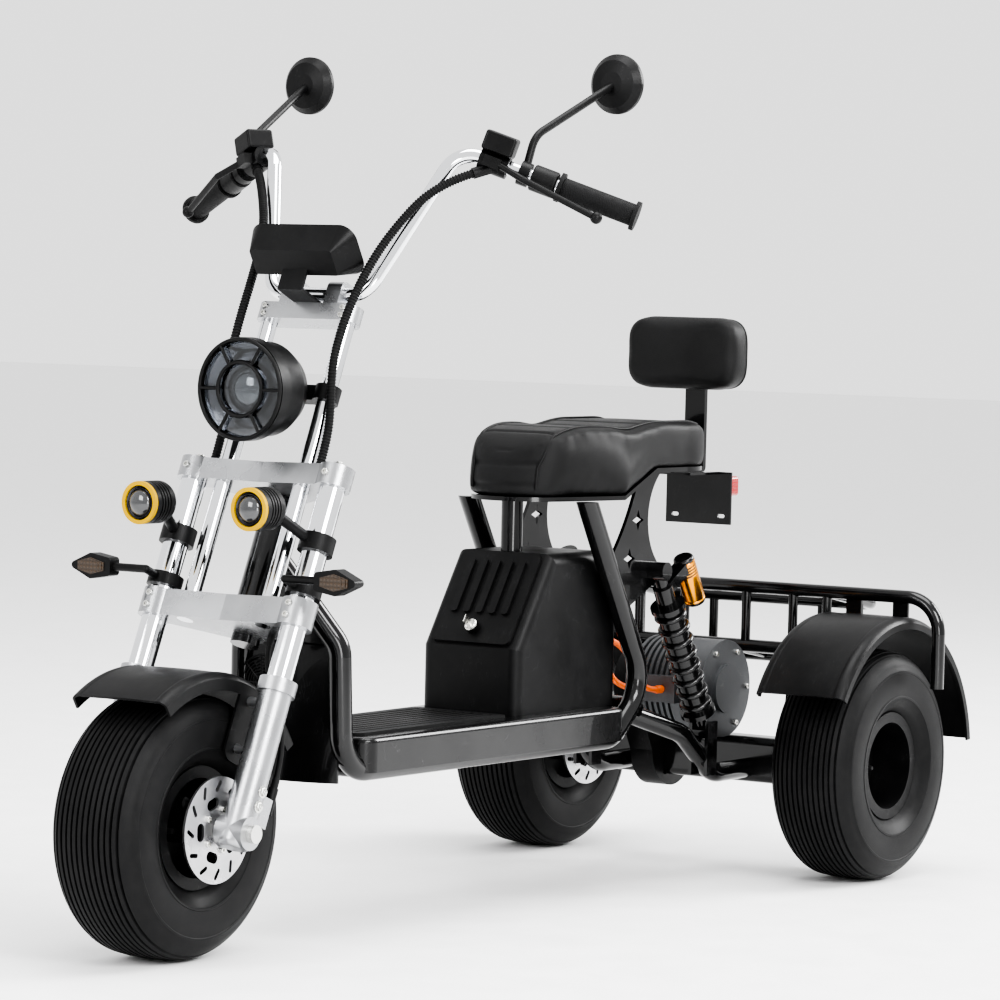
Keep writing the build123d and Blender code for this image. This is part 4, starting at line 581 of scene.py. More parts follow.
@dataclass
class Tyres(Assembly):
    """The three low tyres, with ribs round the tread, moulded rings on the sidewalls, and a valve each."""

    radius: float = 0.1905
    crown: float = 0.0025
    tread_half: float = 0.037
    shoulder_half: float = 0.067
    shoulder_drop: float = 0.02
    shoulder_power: float = 2.2
    shoulder_lines: tuple[float, ...] = (0.06, 0.0635, 0.067)
    groove_half: float = 0.0018
    groove_depth: float = 0.0045
    groove_lines: tuple[float, ...] = (0.0, 0.0095, 0.019, 0.0285, 0.038, 0.047, 0.0555)
    groove_steps: Profile = ((-1.0, 0.0), (-0.6, 1.0), (0.6, 1.0), (1.0, 0.0))
    side: Profile = (
        (0.166, 0.0698), (0.158, 0.0724), (0.1572, 0.0734), (0.1544, 0.074), (0.1536, 0.0734),
        (0.145, 0.0745), (0.129, 0.0748), (0.116, 0.0731), (0.1152, 0.0739), (0.1122, 0.0734),
        (0.1112, 0.0716), (0.1, 0.0655), (0.0935, 0.0585), (0.089, 0.0525), (0.084, 0.0515), (0.076, 0.0515))
    steps: int = 96
    valve: Profile = ((0.0, 0.0), (0.0055, 0.0), (0.0048, 0.012), (0.0032, 0.014), (0.0032, 0.024),
                      (0.0043, 0.025), (0.0043, 0.034), (0.003, 0.037), (0.0, 0.037))
    valve_reach: float = 0.055
    valve_out: float = 0.018
    valve_steps: int = 16

    def build(self) -> None:
        """Builds one tyre for each wheel, in the place of its CAD solid, and its valve."""
        for wheel in ("front", "rear_left", "rear_right"):
            low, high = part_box(f"{wheel}_tyre")
            middle = Matrix.Translation((low + high) / 2)
            shape = Shape(f"{wheel}_ribbed_tyre")
            shape.lathe(self.section(), middle @ ALONG_Y, self.steps, closed=True)
            shape.finish(f"{wheel}_wheel", self.materials["tyre_rubber"], "tyre_rubber", f"{wheel}_tyre")
            out, turn = (-1, FLIP) if wheel == "rear_right" else (1, Matrix())
            foot = middle @ at(self.valve_reach, out * self.valve_out, 0.0) @ ALONG_Y
            valve = Shape(f"{wheel}_valve")
            valve.lathe(self.valve, foot @ turn, self.valve_steps)
            valve.finish(f"{wheel}_wheel", self.materials["rubber"], "rubber")

    def tread_radius(self, across: float) -> float:
        """Finds the tread's outer radius.

        Args:
            across: the distance from the tread's middle.

        Returns:
            The radius there.
        """
        flat = self.radius - self.crown * min(abs(across) / self.tread_half, 1.0) ** 2
        over = max(abs(across) - self.tread_half, 0.0) / (self.shoulder_half - self.tread_half)
        return flat - (self.shoulder_drop - self.crown) * over ** self.shoulder_power

    def section(self) -> list[tuple[float, float]]:
        """Sets out the tyre's closed section, whose middle groove both halves share.

        Returns:
            Its points as (radius, across).
        """
        half = []
        for line in self.groove_lines:
            for step, depth in self.groove_steps:
                across = line + step * self.groove_half
                half.append((self.tread_radius(across) - depth * self.groove_depth, across))
        half.extend((self.tread_radius(across), across) for across in self.shoulder_lines)
        half.extend(self.side)
        outside = half[len(self.groove_steps):]
        return [(radius, -across) for radius, across in reversed(outside)] + half


def new_curve(name: str, route: Sequence[Vector], wire: float, closed: bool = False) -> Piece:
    """Makes a round NURBS curve whose control points are a route's points.

    Args:
        name: the curve's name.
        route: the control points.
        wire: the radius.
        closed: whether it joins its start.

    Returns:
        The curve object.
    """
    data = bpy.data.curves.new(name, "CURVE")
    data.dimensions = "3D"
    data.resolution_u = 8
    data.bevel_depth = wire
    data.bevel_resolution = 3
    data.use_fill_caps = not closed
    spline = data.splines.new("NURBS")
    spline.points.add(len(route) - 1)
    for point, spot in zip(spline.points, route):
        point.co = (*spot, 1.0)
    spline.use_cyclic_u = closed
    spline.order_u = 3
    spline.use_endpoint_u = not closed
    return linked(name, data)


@dataclass
class SoftGoods(Assembly):
    """The saddle and the backrest, filled by a cloth simulation, with channels, seams and piping.

    The corners low and high are those of the CAD solid whose pad is in hand.
    """

    weld: float = 1e-5
    voxel: float = 0.006
    pressure: float = 4.0
    quality: int = 3
    frames: int = 20
    smoothing: int = 9
    shrink: float = 0.985
    cap: float = 0.004
    saddle_fill: float = 0.75
    backrest_fill: float = 0.85
    nose_back: float = 0.04
    nose_length: float = 0.11
    channel_gap: float = 0.046
    nose_gap: float = 0.034
    channel_depth: float = 0.0028
    channel_half: float = 0.0042
    panel_front: float = 0.060
    panel_rear: float = 0.088
    panel_run: float = 0.5
    panel_margin: float = 0.004
    lowest_normal: float = -0.2
    rearmost_normal: float = -0.4
    nose_normal: float = 0.8
    piping: float = 0.0024
    piping_out: float = 0.3
    thread: float = 0.0007
    piping_share: float = 0.2
    stitch_share: float = 0.28
    nose_lifts: tuple[float, ...] = (0.012, 0.024, 0.036, 0.048)
    edge_points: int = 26
    band_points: int = 72
    ray_room: float = 0.1
    low: Vector = field(init=False)
    high: Vector = field(init=False)

    def build(self) -> None:
        """Builds both pads and what is sewn on them."""
        saddle = self.filled("seat_cushion", "saddle", self.saddle_fill, self.nose_back)
        self.press(saddle)
        for side in (1, -1):
            route = self.saddle_edge(saddle, side)
            self.sew(f"saddle_piping_{side + 1}", route, self.piping, False, "leather")
        rest = self.filled("backrest_pad", "backrest", self.backrest_fill, 0.0)
        for name, share, wire, look in (("backrest_piping", self.piping_share, self.piping, "leather"),
                                        ("backrest_stitch", self.stitch_share, self.thread, "thread")):
            self.sew(name, self.band(rest, share), wire, True, look)

    def filled(self, node: str, name: str, fill: float, nose: float) -> Piece:
        """Fills a pad from a slightly smaller copy of its CAD solid.

        Args:
            node: the CAD solid that the pad stands for.
            name: the pad's name.
            fill: how tight it is; not used.
            nose: how far the top of its front leans back.

        Returns:
            The pad.
        """
        self.low, self.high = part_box(node)
        pad = self.copied(node, name)
        for vert in pad.data.vertices:
            share = max(1.0 - (self.high.x - vert.co.x) / self.nose_length, 0.0)
            vert.co.x -= nose * share * ((vert.co.z - self.low.z) / (self.high.z - self.low.z)) ** 2
        self.blow(pad)
        self.soften(pad)
        pad.data.materials.clear()
        pad.data.materials.append(self.materials["leather"])
        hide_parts(node)
        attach(pad, "chassis")
        log.info("pad %s has %d faces", name, len(pad.data.polygons))
        return pad

    def copied(self, node: str, name: str) -> Piece:
        """Copies a CAD solid a little smaller, as an even mesh.

        Args:
            node: the CAD solid.
            name: the copy's name.

        Returns:
            The copy.
        """
        source = bmesh.new()
        source.from_mesh(frame["nodes"][node].data)
        bmesh.ops.remove_doubles(source, verts=source.verts, dist=self.weld)
        middle = Matrix.Translation(-(self.low + self.high) / 2)
        bmesh.ops.scale(source, vec=(self.shrink,) * 3, verts=source.verts, space=middle)
        data = bpy.data.meshes.new(name)
        source.to_mesh(data)
        source.free()
        pad = linked(name, data)
        remesh = pad.modifiers.new("remesh", "REMESH")
        remesh.mode = "VOXEL"
        remesh.voxel_size = self.voxel
        self.apply(pad)
        return pad

    def apply(self, pad: Piece) -> None:
        """Turns a pad's modifiers into its mesh.

        Args:
            pad: the pad.
        """
        graph = bpy.context.evaluated_depsgraph_get()
        data = bpy.data.meshes.new_from_object(pad.evaluated_get(graph))
        pad.modifiers.clear()
        pad.data = data

    def blow(self, pad: Piece) -> None:
        """Presses a pad's cover outward as cloth and holds how far it may go.

        Args:
            pad: the pad.
        """
        before = [vert.co.copy() for vert in pad.data.vertices]
        cloth = pad.modifiers.new("cloth", "CLOTH")
        cloth.settings.use_pressure = True
        cloth.settings.uniform_pressure_force = self.pressure
        cloth.settings.effector_weights.gravity = 0.0
        cloth.settings.quality = self.quality
        for number in range(1, self.frames + 1):
            bpy.context.scene.frame_set(number)
        self.apply(pad)
        for vert, old in zip(pad.data.vertices, before):
            moved = vert.co - old
            vert.co = old + moved * min(1.0, self.cap / max(moved.length, MERGE_DISTANCE))
        bpy.context.scene.frame_set(1)

    def soften(self, pad: Piece) -> None:
        """Smooths a pad, keeps it inside its CAD solid's box and makes its mesh finer.

        Args:
            pad: the pad.
        """
        shape = bmesh.new()
        shape.from_mesh(pad.data)
        for _ in range(self.smoothing):
            bmesh.ops.smooth_vert(shape, verts=shape.verts, factor=0.5, use_axis_x=True, use_axis_y=True,
                                  use_axis_z=True)
        bmesh.ops.recalc_face_normals(shape, faces=shape.faces)
        for vert in shape.verts:
            bounds = zip(vert.co, self.low, self.high)
            vert.co = Vector(min(max(c, least), most) for c, least, most in bounds)
        for face in shape.faces:
            face.smooth = True
        shape.to_mesh(pad.data)
        shape.free()
        finer = pad.modifiers.new("finer", "SUBSURF")
        finer.levels = finer.render_levels = 1
        self.apply(pad)

    def panel_half(self, x: float) -> float:
        """Returns half the width of the saddle's top panel at a place along it."""
        share = min(max((self.high.x - x) / (self.panel_run * (self.high.x - self.low.x)), 0.0), 1.0)
        return self.panel_front + share * (self.panel_rear - self.panel_front)

    def saddle_groove(self, place: Vector, normal: Vector) -> float:
        """Finds how deep the saddle's sewn channels press its cover in.

        Args:
            place: a point on the cover.
            normal: the cover's normal there.

        Returns:
            The depth at that point.
        """
        beside = abs(place.y) > self.panel_half(place.x) - self.panel_margin
        if beside or normal.z < self.lowest_normal or normal.x < self.rearmost_normal:
            return 0.0
        if normal.x > self.nose_normal:
            off = (place.z - self.low.z) % self.nose_gap - self.nose_gap / 2
        else:
            off = (self.high.x - place.x) % self.channel_gap - self.channel_gap / 2
        return self.channel_depth * math.exp(-(off / self.channel_half) ** 2)

    def press(self, saddle: Piece) -> None:
        """Presses the sewn channels into the saddle along its normals.

        Args:
            saddle: the filled saddle.
        """
        cover = saddle.data.vertices
        moves = [vert.normal * self.saddle_groove(vert.co, vert.normal) for vert in cover]
        for vert, move in zip(cover, moves):
            vert.co -= move

    def saddle_edge(self, saddle: Piece, side: int) -> list[Vector]:
        """Follows the edge of the top panel: up the nose, along the top and down the back.

        Args:
            saddle: the finished saddle.
            side: 1 on the left, -1 on the right.

        Returns:
            Points on the saddle.
        """
        low, high = self.low, self.high
        back, down = Vector((-1, 0, 0)), Vector((0, 0, -1))
        runs = [(Vector((high.x + self.ray_room, side * self.panel_front, low.z + lift)), back)
                for lift in self.nose_lifts]
        for k in range(1, self.edge_points):
            x = high.x + (low.x - high.x) * k / self.edge_points
            runs.append((Vector((x, side * self.panel_half(x), high.z + self.ray_room)), down))
        hits = [saddle.ray_cast(start, way) for start, way in runs]
        return [spot + normal * self.piping * self.piping_out for hit, spot, normal, _ in hits if hit]

    def band(self, pad: Piece, share: float) -> list[Vector]:
        """Follows a pad round where a plane across X meets it.

        Args:
            pad: the finished pad.
            share: where the plane is between the pad's rear and its front.

        Returns:
            Points on the pad.
        """
        turns = [2 * math.pi * k / self.band_points for k in range(self.band_points)]
        start = self.low.lerp(self.high, 0.5)
        start.x = self.low.x + share * (self.high.x - self.low.x)
        hits = [pad.ray_cast(start, Vector((0, math.cos(turn), math.sin(turn)))) for turn in turns]
        return [spot for hit, spot, _, _ in hits if hit]

    def sew(self, name: str, route: Sequence[Vector], wire: float, closed: bool, look: str) -> None:
        """Lays a round welt or thread along points on a pad.

        Args:
            name: the piece's name.
            route: the points it follows.
            wire: its radius.
            closed: whether it runs all the way round.
            look: the name of its finish.
        """
        line = new_curve(name, route, wire, closed)
        line.data.materials.append(self.materials[look])
        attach(line, "chassis")
        log.info("sewn %s along %d points", name, len(route))


class Route(Enum):
    """The cords' control points as in the CAD, in millimetres."""

    CONDUIT = ((-30.2, 196.4, 1035.9), (0.4, 157.7, 1002.1), (16, 114, 917), (32, 99, 838), (40, 94, 764),
               (38, 93, 698.1), (14, 93, 640.1), (4, 95, 598.1), (4, 95, 552.1))
    HOSE = ((-34.2, 64, 305.9), (-34.2, 64, 265.9), (-44.2, 84, 231.9), (-60.2, 102, 191.9),
            (-77.2, 108, 132.2), (-77.2, 108, 90.2))
    MOTOR = ((-1046.1, 22, 400), (-1093.2, 22, 400), (-1145.2, 30.8, 388.2), (-1194.8, 30.8, 348.1),
             (-1236.9, 22, 302), (-1293.9, 22, 302))


@dataclass
class Cords(Assembly):
    """The conduits, the brake hose and the motor cables, with what sits on each."""

    conduit_radius: float = 0.007
    hose_radius: float = 0.004
    cable_radius: float = 0.005
    ring_gap: float = 0.0046
    ring_wire: float = 0.0011
    ring_steps: int = 16
    sleeve: Profile = ((0.6, 0.0), (1.35, 0.0), (1.35, 0.7), (1.15, 0.8), (1.15, 1.0), (0.6, 1.0))
    sleeve_length: float = 0.018
    sleeve_steps: int = 20

    def build(self) -> None:
        """Builds every cord along its route."""
        for side, name in SIDES:
            conduit = [on_fork(x, side * y, z).translation for x, y, z in Route.CONDUIT.value]
            self.lay(f"conduit_{name}", conduit, self.conduit_radius, "steering", "rubber", "cable_conduits",
                     self.ring_gap)
            cable = [row_point(x, side * y, z) for x, y, z in Route.MOTOR.value]
            self.lay(f"motor_cable_{name}", cable, self.cable_radius, "chassis", "orange_cable",
                     "motor_cables")
        hose = [on_fork(*point).translation for point in Route.HOSE.value]
        self.lay("brake_hose", hose, self.hose_radius, "steering", "rubber", "front_brake_hose")

    def lay(self, name: str, route: Sequence[Vector], outer: float, body: str, slot: str, node: str,
            gap: float = 0.0) -> None:
        """Lays one cord, with rings along it or a sleeve at each end.

        Args:
            name: the cord's name.
            route: its control points.
            outer: its radius, over the rings where it has them.
            body: the CAD body it moves with.
            slot: the record's slot for it, which is also its finish.
            node: the CAD node that it stands for.
            gap: the distance between rings, or 0 for end sleeves.
        """
        material = self.materials[slot]
        cord = new_curve(name, route, 0.0)
        graph = bpy.context.evaluated_depsgraph_get()
        line = bpy.data.meshes.new_from_object(cord.evaluated_get(graph))
        path = [vert.co.copy() for vert in line.vertices]
        wire = outer - self.ring_wire if gap else outer
        cord.data.bevel_depth = wire
        cord.data.materials.append(material)
        shape = Shape(f"{name}_rings" if gap else f"{name}_sleeves")
        if gap:
            for place in self.steps(path, gap):
                shape.ring(outer - self.ring_wire, self.ring_wire, place, self.ring_steps)
        else:
            sleeve = scaled(self.sleeve, wire, self.sleeve_length)
            for start, end in ((path[0], path[1]), (path[-1], path[-2])):
                shape.lathe(sleeve, aimed(start, end), self.sleeve_steps, closed=True)
        extra = shape.finish(body, material, slot)
        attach(cord, body)
        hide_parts(node)

    def steps(self, path: Sequence[Vector], gap: float) -> list[Matrix]:
        """Steps evenly along a path.

        Args:
            path: the points of the path.
            gap: the distance between two steps.

        Returns:
            The places, each with Z along the path.
        """
        places = []
        carried = gap / 2
        for start, end in zip(path, path[1:]):
            reach = (end - start).length
            while carried < reach:
                spot = start.lerp(end, carried / reach)
                places.append(aimed(spot, spot + end - start))
                carried += gap
            carried -= reach
        return places


@dataclass
class Lamps(Assembly):
    """What shows inside and on the lamps: reflectors, lenses and smoked signal covers.

    Radii in the profiles are shares of the lamp's or the projector's radius. Heights are metres, but
    shares of the headlight's depth in bowl_slope, collar and projector.
    """

    head_face: Point = (-152.0, 0.0, 806.0)
    head_radius: float = 0.0688
    head_depth: float = 0.0215
    projector_radius: float = 0.03
    bowl_rim: Profile = ((1.0, -0.004), (1.0, -0.006), (0.93, -0.0075))
    bowl_slope: Profile = ((0.8, 0.62), (0.62, 0.86))
    collar: Profile = ((1.28, 0.95), (1.28, 0.72), (1.1, 0.68), (1.06, 1.0))
    projector: Profile = ((1.05, 1.0), (1.05, 0.8), (0.99, 0.66), (0.86, 0.5), (0.66, 0.36), (0.4, 0.26),
                          (0.15, 0.22), (0.0, 0.215))
    glass: Profile = ((0.0, -0.0012), (0.5, -0.0015), (0.88, -0.0023), (1.0, -0.0034), (1.0, -0.0056),
                      (0.88, -0.0045), (0.5, -0.0037), (0.0, -0.0034))
    head_steps: int = 64
    projector_steps: int = 48
    fog_place: Point = (134.0, 98.0, 433.0)
    fog_radius: float = 0.0245
    fog_cone: Profile = ((1.0, 0.0003), (1.0, 0.0028), (0.96, 0.0034), (0.84, 0.001), (0.8, 0.0003))
    fog_lens: Profile = ((0.78, 0.0004), (0.78, 0.0026), (0.7, 0.0062), (0.52, 0.0092), (0.28, 0.011),
                         (0.0, 0.0116))
    fog_ring: Point = (0.86, 0.0006, 0.0026)
    fog_steps: int = 40
    signal_place: Point = (50.0, 184.0, 362.0)
    signal_front: float = 0.0108
    signal_out: float = 0.034
    signal_half: Point = (0.028, 0.0125, 0.0022)
    signal_tiers: Profile = ((1.0, 0.6), (0.86, 1.0), (0.62, 1.25))
    signal_edge: float = 0.2

    def build(self) -> None:
        """Builds the headlight's inside, the fog lamps and the signals."""
        self.add_headlight()
        for side, name in SIDES:
            self.add_fog(side, name)
            self.add_signal(side, name)

    def add_headlight(self) -> None:
        """Builds the headlight's bowl, projector and glass in the place of its plain lens."""
        face = Matrix.Translation(row_point(*self.head_face)) @ ALONG_X
        rim, back, ball = self.head_radius, -self.head_depth, self.projector_radius
        bowl = Shape("headlight_bowl")
        dish = scaled(self.bowl_rim, rim) + scaled(self.bowl_slope, rim, back)
        foot = scaled(self.collar, ball, back) + [(rim, back)]
        bowl.lathe(dish + foot, face, self.head_steps, closed=True)
        bowl.finish("steering", self.materials["smoked_reflector"], "lamp_glass", "headlight_lens")
        eye = Shape("headlight_projector")
        eye.lathe(scaled(self.projector, ball, back), face, self.projector_steps)
        eye.finish("steering", self.materials["lens_glass"], "lamp_glass")
        shine = Shape("headlight_glass")
        shine.lathe(scaled(self.glass, rim), face, self.head_steps)
        shine.finish("steering", self.materials["lamp_glass"], "lamp_glass")

    def add_fog(self, side: int, name: str) -> None:
        """Builds one fog lamp's cone and bulging lens inside its coloured ring.

        Args:
            side: 1 on the left, -1 on the right.
            name: the side's name.
        """
        x, y, z = self.fog_place
        face = Matrix.Translation(on_fork(x, side * y, z).translation) @ ALONG_X
        edge = self.fog_radius
        reach, wire, lift = self.fog_ring
        cone = Shape(f"fog_cone_{name}")
        cone.lathe(scaled(self.fog_cone, edge), face, self.fog_steps, closed=True)
        cone.ring(edge * reach, wire, face @ at(0.0, 0.0, lift), self.fog_steps)
        cone.finish("steering", self.materials["smoked_reflector"], "lamp_glass")
        lens = Shape(f"fog_lens_{name}")
        lens.lathe(scaled(self.fog_lens, edge), face, self.fog_steps)
        lens.finish("steering", self.materials["lens_glass"], "lamp_glass")

    def add_signal(self, side: int, name: str) -> None:
        """Builds the smoked cover on one turn signal's front, in tiers of six sides.

        Args:
            side: 1 on the left, -1 on the right.
            name: the side's name.
        """
        x, y, z = self.signal_place
        length, height, thick = self.signal_half
        offset = Vector((self.signal_front, side * self.signal_out, 0.0))
        spot = Matrix.Translation(on_fork(x, side * y, z).translation + offset)
        upright = Matrix(((0, 0, 1, 0), (1, 0, 0, 0), (0, 1, 0, 0), (0, 0, 0, 1)))
        cover = Shape(f"signal_cover_{name}")
        for share, lift in self.signal_tiers:
            stretch = Matrix.Diagonal((length * share, height * share, 1.0, 1.0))
            cover.bar(1.0, thick * lift, spot @ upright @ stretch, 6, thick * self.signal_edge)
        cover.finish("steering", self.materials["amber_lens"], "gloss_plastic")


@dataclass
class Fittings(Assembly):
    """Bolts, the shocks' reservoirs, mirror glasses, the screen, the speaker and the lid's lock.

    Places that on_fork and row_point take are in millimetres, the rest in metres. A bolt or screw is its
    radius and its height. Radii in the profiles are shares of the piece's own radius, apart from the lock's.
    """

    leg_half: float = 125.0
    clamp_front: float = 26.0
    clamp_heights: tuple[float, ...] = (317.0, 335.0, 536.0)
    clamp_screw: tuple[float, float] = (0.0048, 0.005)
    riser_half: float = 70.0
    riser_front: float = 19.5
    riser_heights: tuple[float, ...] = (783.0, 795.0)
    riser_screw: tuple[float, float] = (0.0042, 0.0045)
    screw_sink: float = 0.6
    cap_nut: tuple[float, float] = (0.0095, 0.007)
    cap_nut_height: float = 552.0
    axle_bolt: tuple[float, float] = (0.0062, 0.005)
    axle_bolt_heights: tuple[float, ...] = (40.0, 62.0)
    axle_bolt_out: float = 23.6
    disc_screw: tuple[float, float] = (0.0046, 0.0045)
    disc_screws: int = 5
    disc_circle: float = 0.03
    reservoir_start: Point = (-1204.3, 112.0, 529.9)
    reservoir_end: Point = (-1248.4, 112.0, 453.7)
    reservoir_radius: float = 0.0176
    reservoir_top: Profile = ((0.9, 0.006), (1.0, 0.008))
    reservoir_groove: Profile = ((1.0, 0.0), (0.94, 0.0008), (0.94, 0.0026), (1.0, 0.0034))
    reservoir_foot: Profile = ((1.0, 0.012), (0.95, 0.0105), (1.0, 0.009), (1.0, 0.007), (0.9, 0.005))
    groove_start: float = 0.014
    groove_gap: float = 0.005
    groove_count: int = 4
    mirror_middle: Point = (0.0514, 0.2854, 1.2692)
    mirror_radius: float = 0.041
    mirror: Profile = ((0.0, 0.0011), (0.6, 0.0009), (0.97, 0.0004), (1.0, 0.0), (0.96, -0.0004),
                       (0.0, -0.0004))
    screen_place: Point = (60.0, 0.0, 858.0)
    screen_turn: float = math.radians(143.7)
    screen_back: float = -0.021
    screen_blocks: tuple[tuple[Point, float], ...] = (((0.056, 0.15, 0.003), 0.0012),
                                                      ((0.048, 0.136, 0.0042), 0.0008))
    speaker: Point = (0.9, -0.046, 0.372)
    speaker_radius: float = 0.041
    speaker_rim: Profile = ((0.93, -0.002), (1.0, -0.002), (1.0, 0.003), (0.97, 0.004), (0.93, 0.003))
    speaker_inner: float = 0.93
    speaker_count: int = 8
    speaker_wire: float = 0.0011
    speaker_bar: tuple[float, float] = (0.0012, 0.94)
    speaker_lift: float = 0.002
    lock_place: Point = (-758.5, 0.0, 435.3)
    lock_normal: Point = (0.837, 0.0, 0.5465)
    lock: Profile = ((0.0, 0.0016), (0.0064, 0.0016), (0.0072, 0.0008), (0.0088, 0.0026), (0.0104, 0.0014),
                     (0.0106, -0.004), (0.0, -0.004))
    key_blocks: tuple[tuple[Point, float, float], ...] = (((0.0012, 0.005, 0.012), 0.006, 0.0003),
                                                          ((0.0014, 0.013, 0.011), 0.0165, 0.0005))
    motor_axis: Point = (-1390.0, 88.0, 302.0)
    motor_screw: tuple[float, float] = (0.0045, 0.005)
    motor_screws: int = 6
    motor_circle: float = 0.068
    turned_steps: int = 40
    fine_steps: int = 48
    lock_steps: int = 32

    def build(self) -> None:
        """Builds every fitting."""
        self.add_fork_bolts()
        self.add_wheel_bolts()
        self.add_reservoirs()
        self.add_mirrors()
        self.add_screen()
        self.add_speaker()
        self.add_lock()
        self.add_motor_screws()

    def add_fork_bolts(self) -> None:
        """Builds the yokes' cap nuts and pinch screws and the sliders' bolts."""
        bolts = Shape("fork_bolts")
        pinches = ((self.clamp_screw, self.clamp_front, self.leg_half, self.clamp_heights),
                   (self.riser_screw, self.riser_front, self.riser_half, self.riser_heights))
        for side, _ in SIDES:
            bolts.bolt(*self.cap_nut, on_fork(0.0, side * self.leg_half, self.cap_nut_height))
            for screw, front, half, heights in pinches:
                for height in heights:
                    bolts.cap_screw(*screw, on_fork(front - self.screw_sink, side * half, height) @ ALONG_X)
            outward = ALONG_Y if side > 0 else ALONG_Y @ FLIP
            for height in self.axle_bolt_heights:
                place = on_fork(0.0, side * (self.leg_half + self.axle_bolt_out), height)
                bolts.bolt(*self.axle_bolt, place @ outward)
        bolts.finish("steering", self.materials["zinc"], "chrome")

    def add_wheel_bolts(self) -> None:
        """Builds the screws that hold each brake disc."""
        for wheel, axle in (("front", FRONT_AXLE), ("rear_left", REAR_AXLE), ("rear_right", REAR_AXLE)):
            low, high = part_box(f"{wheel}_brake_disc")
            face, turn = (low.y, ALONG_Y @ FLIP) if wheel == "rear_left" else (high.y, ALONG_Y)
            screws = Shape(f"{wheel}_disc_screws")
            for k in range(self.disc_screws):
                around = at(axle.x, face, axle.z) @ spun(k + 0.5, self.disc_screws, "Y")
                screws.cap_screw(*self.disc_screw, around @ at(self.disc_circle, 0.0, 0.0) @ turn)
            screws.finish(f"{wheel}_wheel", self.materials["zinc"], "disc_steel")

    def add_reservoirs(self) -> None:
        """Builds the shocks' gold reservoir sleeves with their turned caps."""
        wall = self.reservoir_radius
        for side, name in SIDES:
            top, foot = (row_point(x, side * y, z) for x, y, z in (self.reservoir_start, self.reservoir_end))
            length = (foot - top).length
            outline = scaled(self.reservoir_top, wall)
            for k in range(self.groove_count):
                start = self.groove_start + k * self.groove_gap
                outline += [(wall * share, start + along) for share, along in self.reservoir_groove]
            outline += [(wall * share, length - along) for share, along in self.reservoir_foot]
            sleeve = Shape(f"reservoir_{name}")
            sleeve.lathe(outline, aimed(top, foot), self.turned_steps, closed=True)
            sleeve.finish("chassis", self.materials["gold_anodised"], "yellow_ring")

    def add_mirrors(self) -> None:
        """Builds the mirrors' glasses, facing the rider."""
        x, y, z = self.mirror_middle
        back = Matrix.Rotation(-math.pi / 2, 4, "Y")
        for side, name in SIDES:
            glass = Shape(f"mirror_glass_{name}")
            glass.lathe(scaled(self.mirror, self.mirror_radius), at(x, side * y, z) @ back, self.fine_steps)
            glass.finish("steering", self.materials["mirror_glass"], "chrome")

    def add_screen(self) -> None:
        """Builds the blank screen and its rim on the display, facing the rider."""
        turn = Matrix.Rotation(self.screen_turn, 4, "Y")
        face = on_fork(*self.screen_place) @ turn @ at(0.0, 0.0, self.screen_back)
        screen = Shape("display_screen")
        for size, edge in self.screen_blocks:
            screen.block(size, face, edge)
        screen.finish("steering", self.materials["screen"], "gloss_plastic")

    def add_speaker(self) -> None:
        """Builds the speaker's grille of rings and bars on the leg shield."""
        hit, spot, _, _ = frame["nodes"]["leg_shield"].ray_cast(Vector(self.speaker), Vector((-1, 0, 0)))
        if not hit:
            raise ValueError("the speaker's place isn't on the leg shield")
        face = Matrix.Translation(spot) @ ALONG_X
        front = face @ at(0.0, 0.0, self.speaker_lift)
        wide, count = self.speaker_radius, self.speaker_count
        thick, reach = self.speaker_bar
        grille = Shape("speaker_grille")
        grille.lathe(scaled(self.speaker_rim, wide), face, self.fine_steps, closed=True)
        for k in range(1, count):
            grille.ring(wide * self.speaker_inner * k / count, self.speaker_wire, front, self.fine_steps)
        for k in range(count):
            grille.bar(thick, wide * reach, front @ spun(k, count, "Z") @ ALONG_X, 8)
        grille.finish("chassis", self.materials["black_plastic"], "black_plastic")

    def add_lock(self) -> None:
        """Builds the lid's lock face and the key in it."""
        spot = row_point(*self.lock_place)
        place = aimed(spot, spot + Vector(self.lock_normal))
        lock = Shape("lid_lock")
        lock.lathe(self.lock, place, self.lock_steps)
        for size, lift, edge in self.key_blocks:
            lock.block(size, place @ at(0.0, 0.0, lift), edge)
        lock.finish("battery_lid", self.materials["zinc"], "chrome")

    def add_motor_screws(self) -> None:
        """Builds the screws round the motor's end bell."""
        middle = Matrix.Translation(row_point(*self.motor_axis))
        screws = Shape("motor_screws")
        for k in range(self.motor_screws):
            around = middle @ spun(k, self.motor_screws, "Y")
            screws.cap_screw(*self.motor_screw, around @ at(self.motor_circle, 0.0, 0.0) @ ALONG_Y)
        screws.finish("chassis", self.materials["zinc"], "chrome")


@dataclass(frozen=True)
class Panel:
    """A soft square light: where it hangs, its side in metres and its power in watts."""

    name: str
    spot: Point
    size: float
    power: float


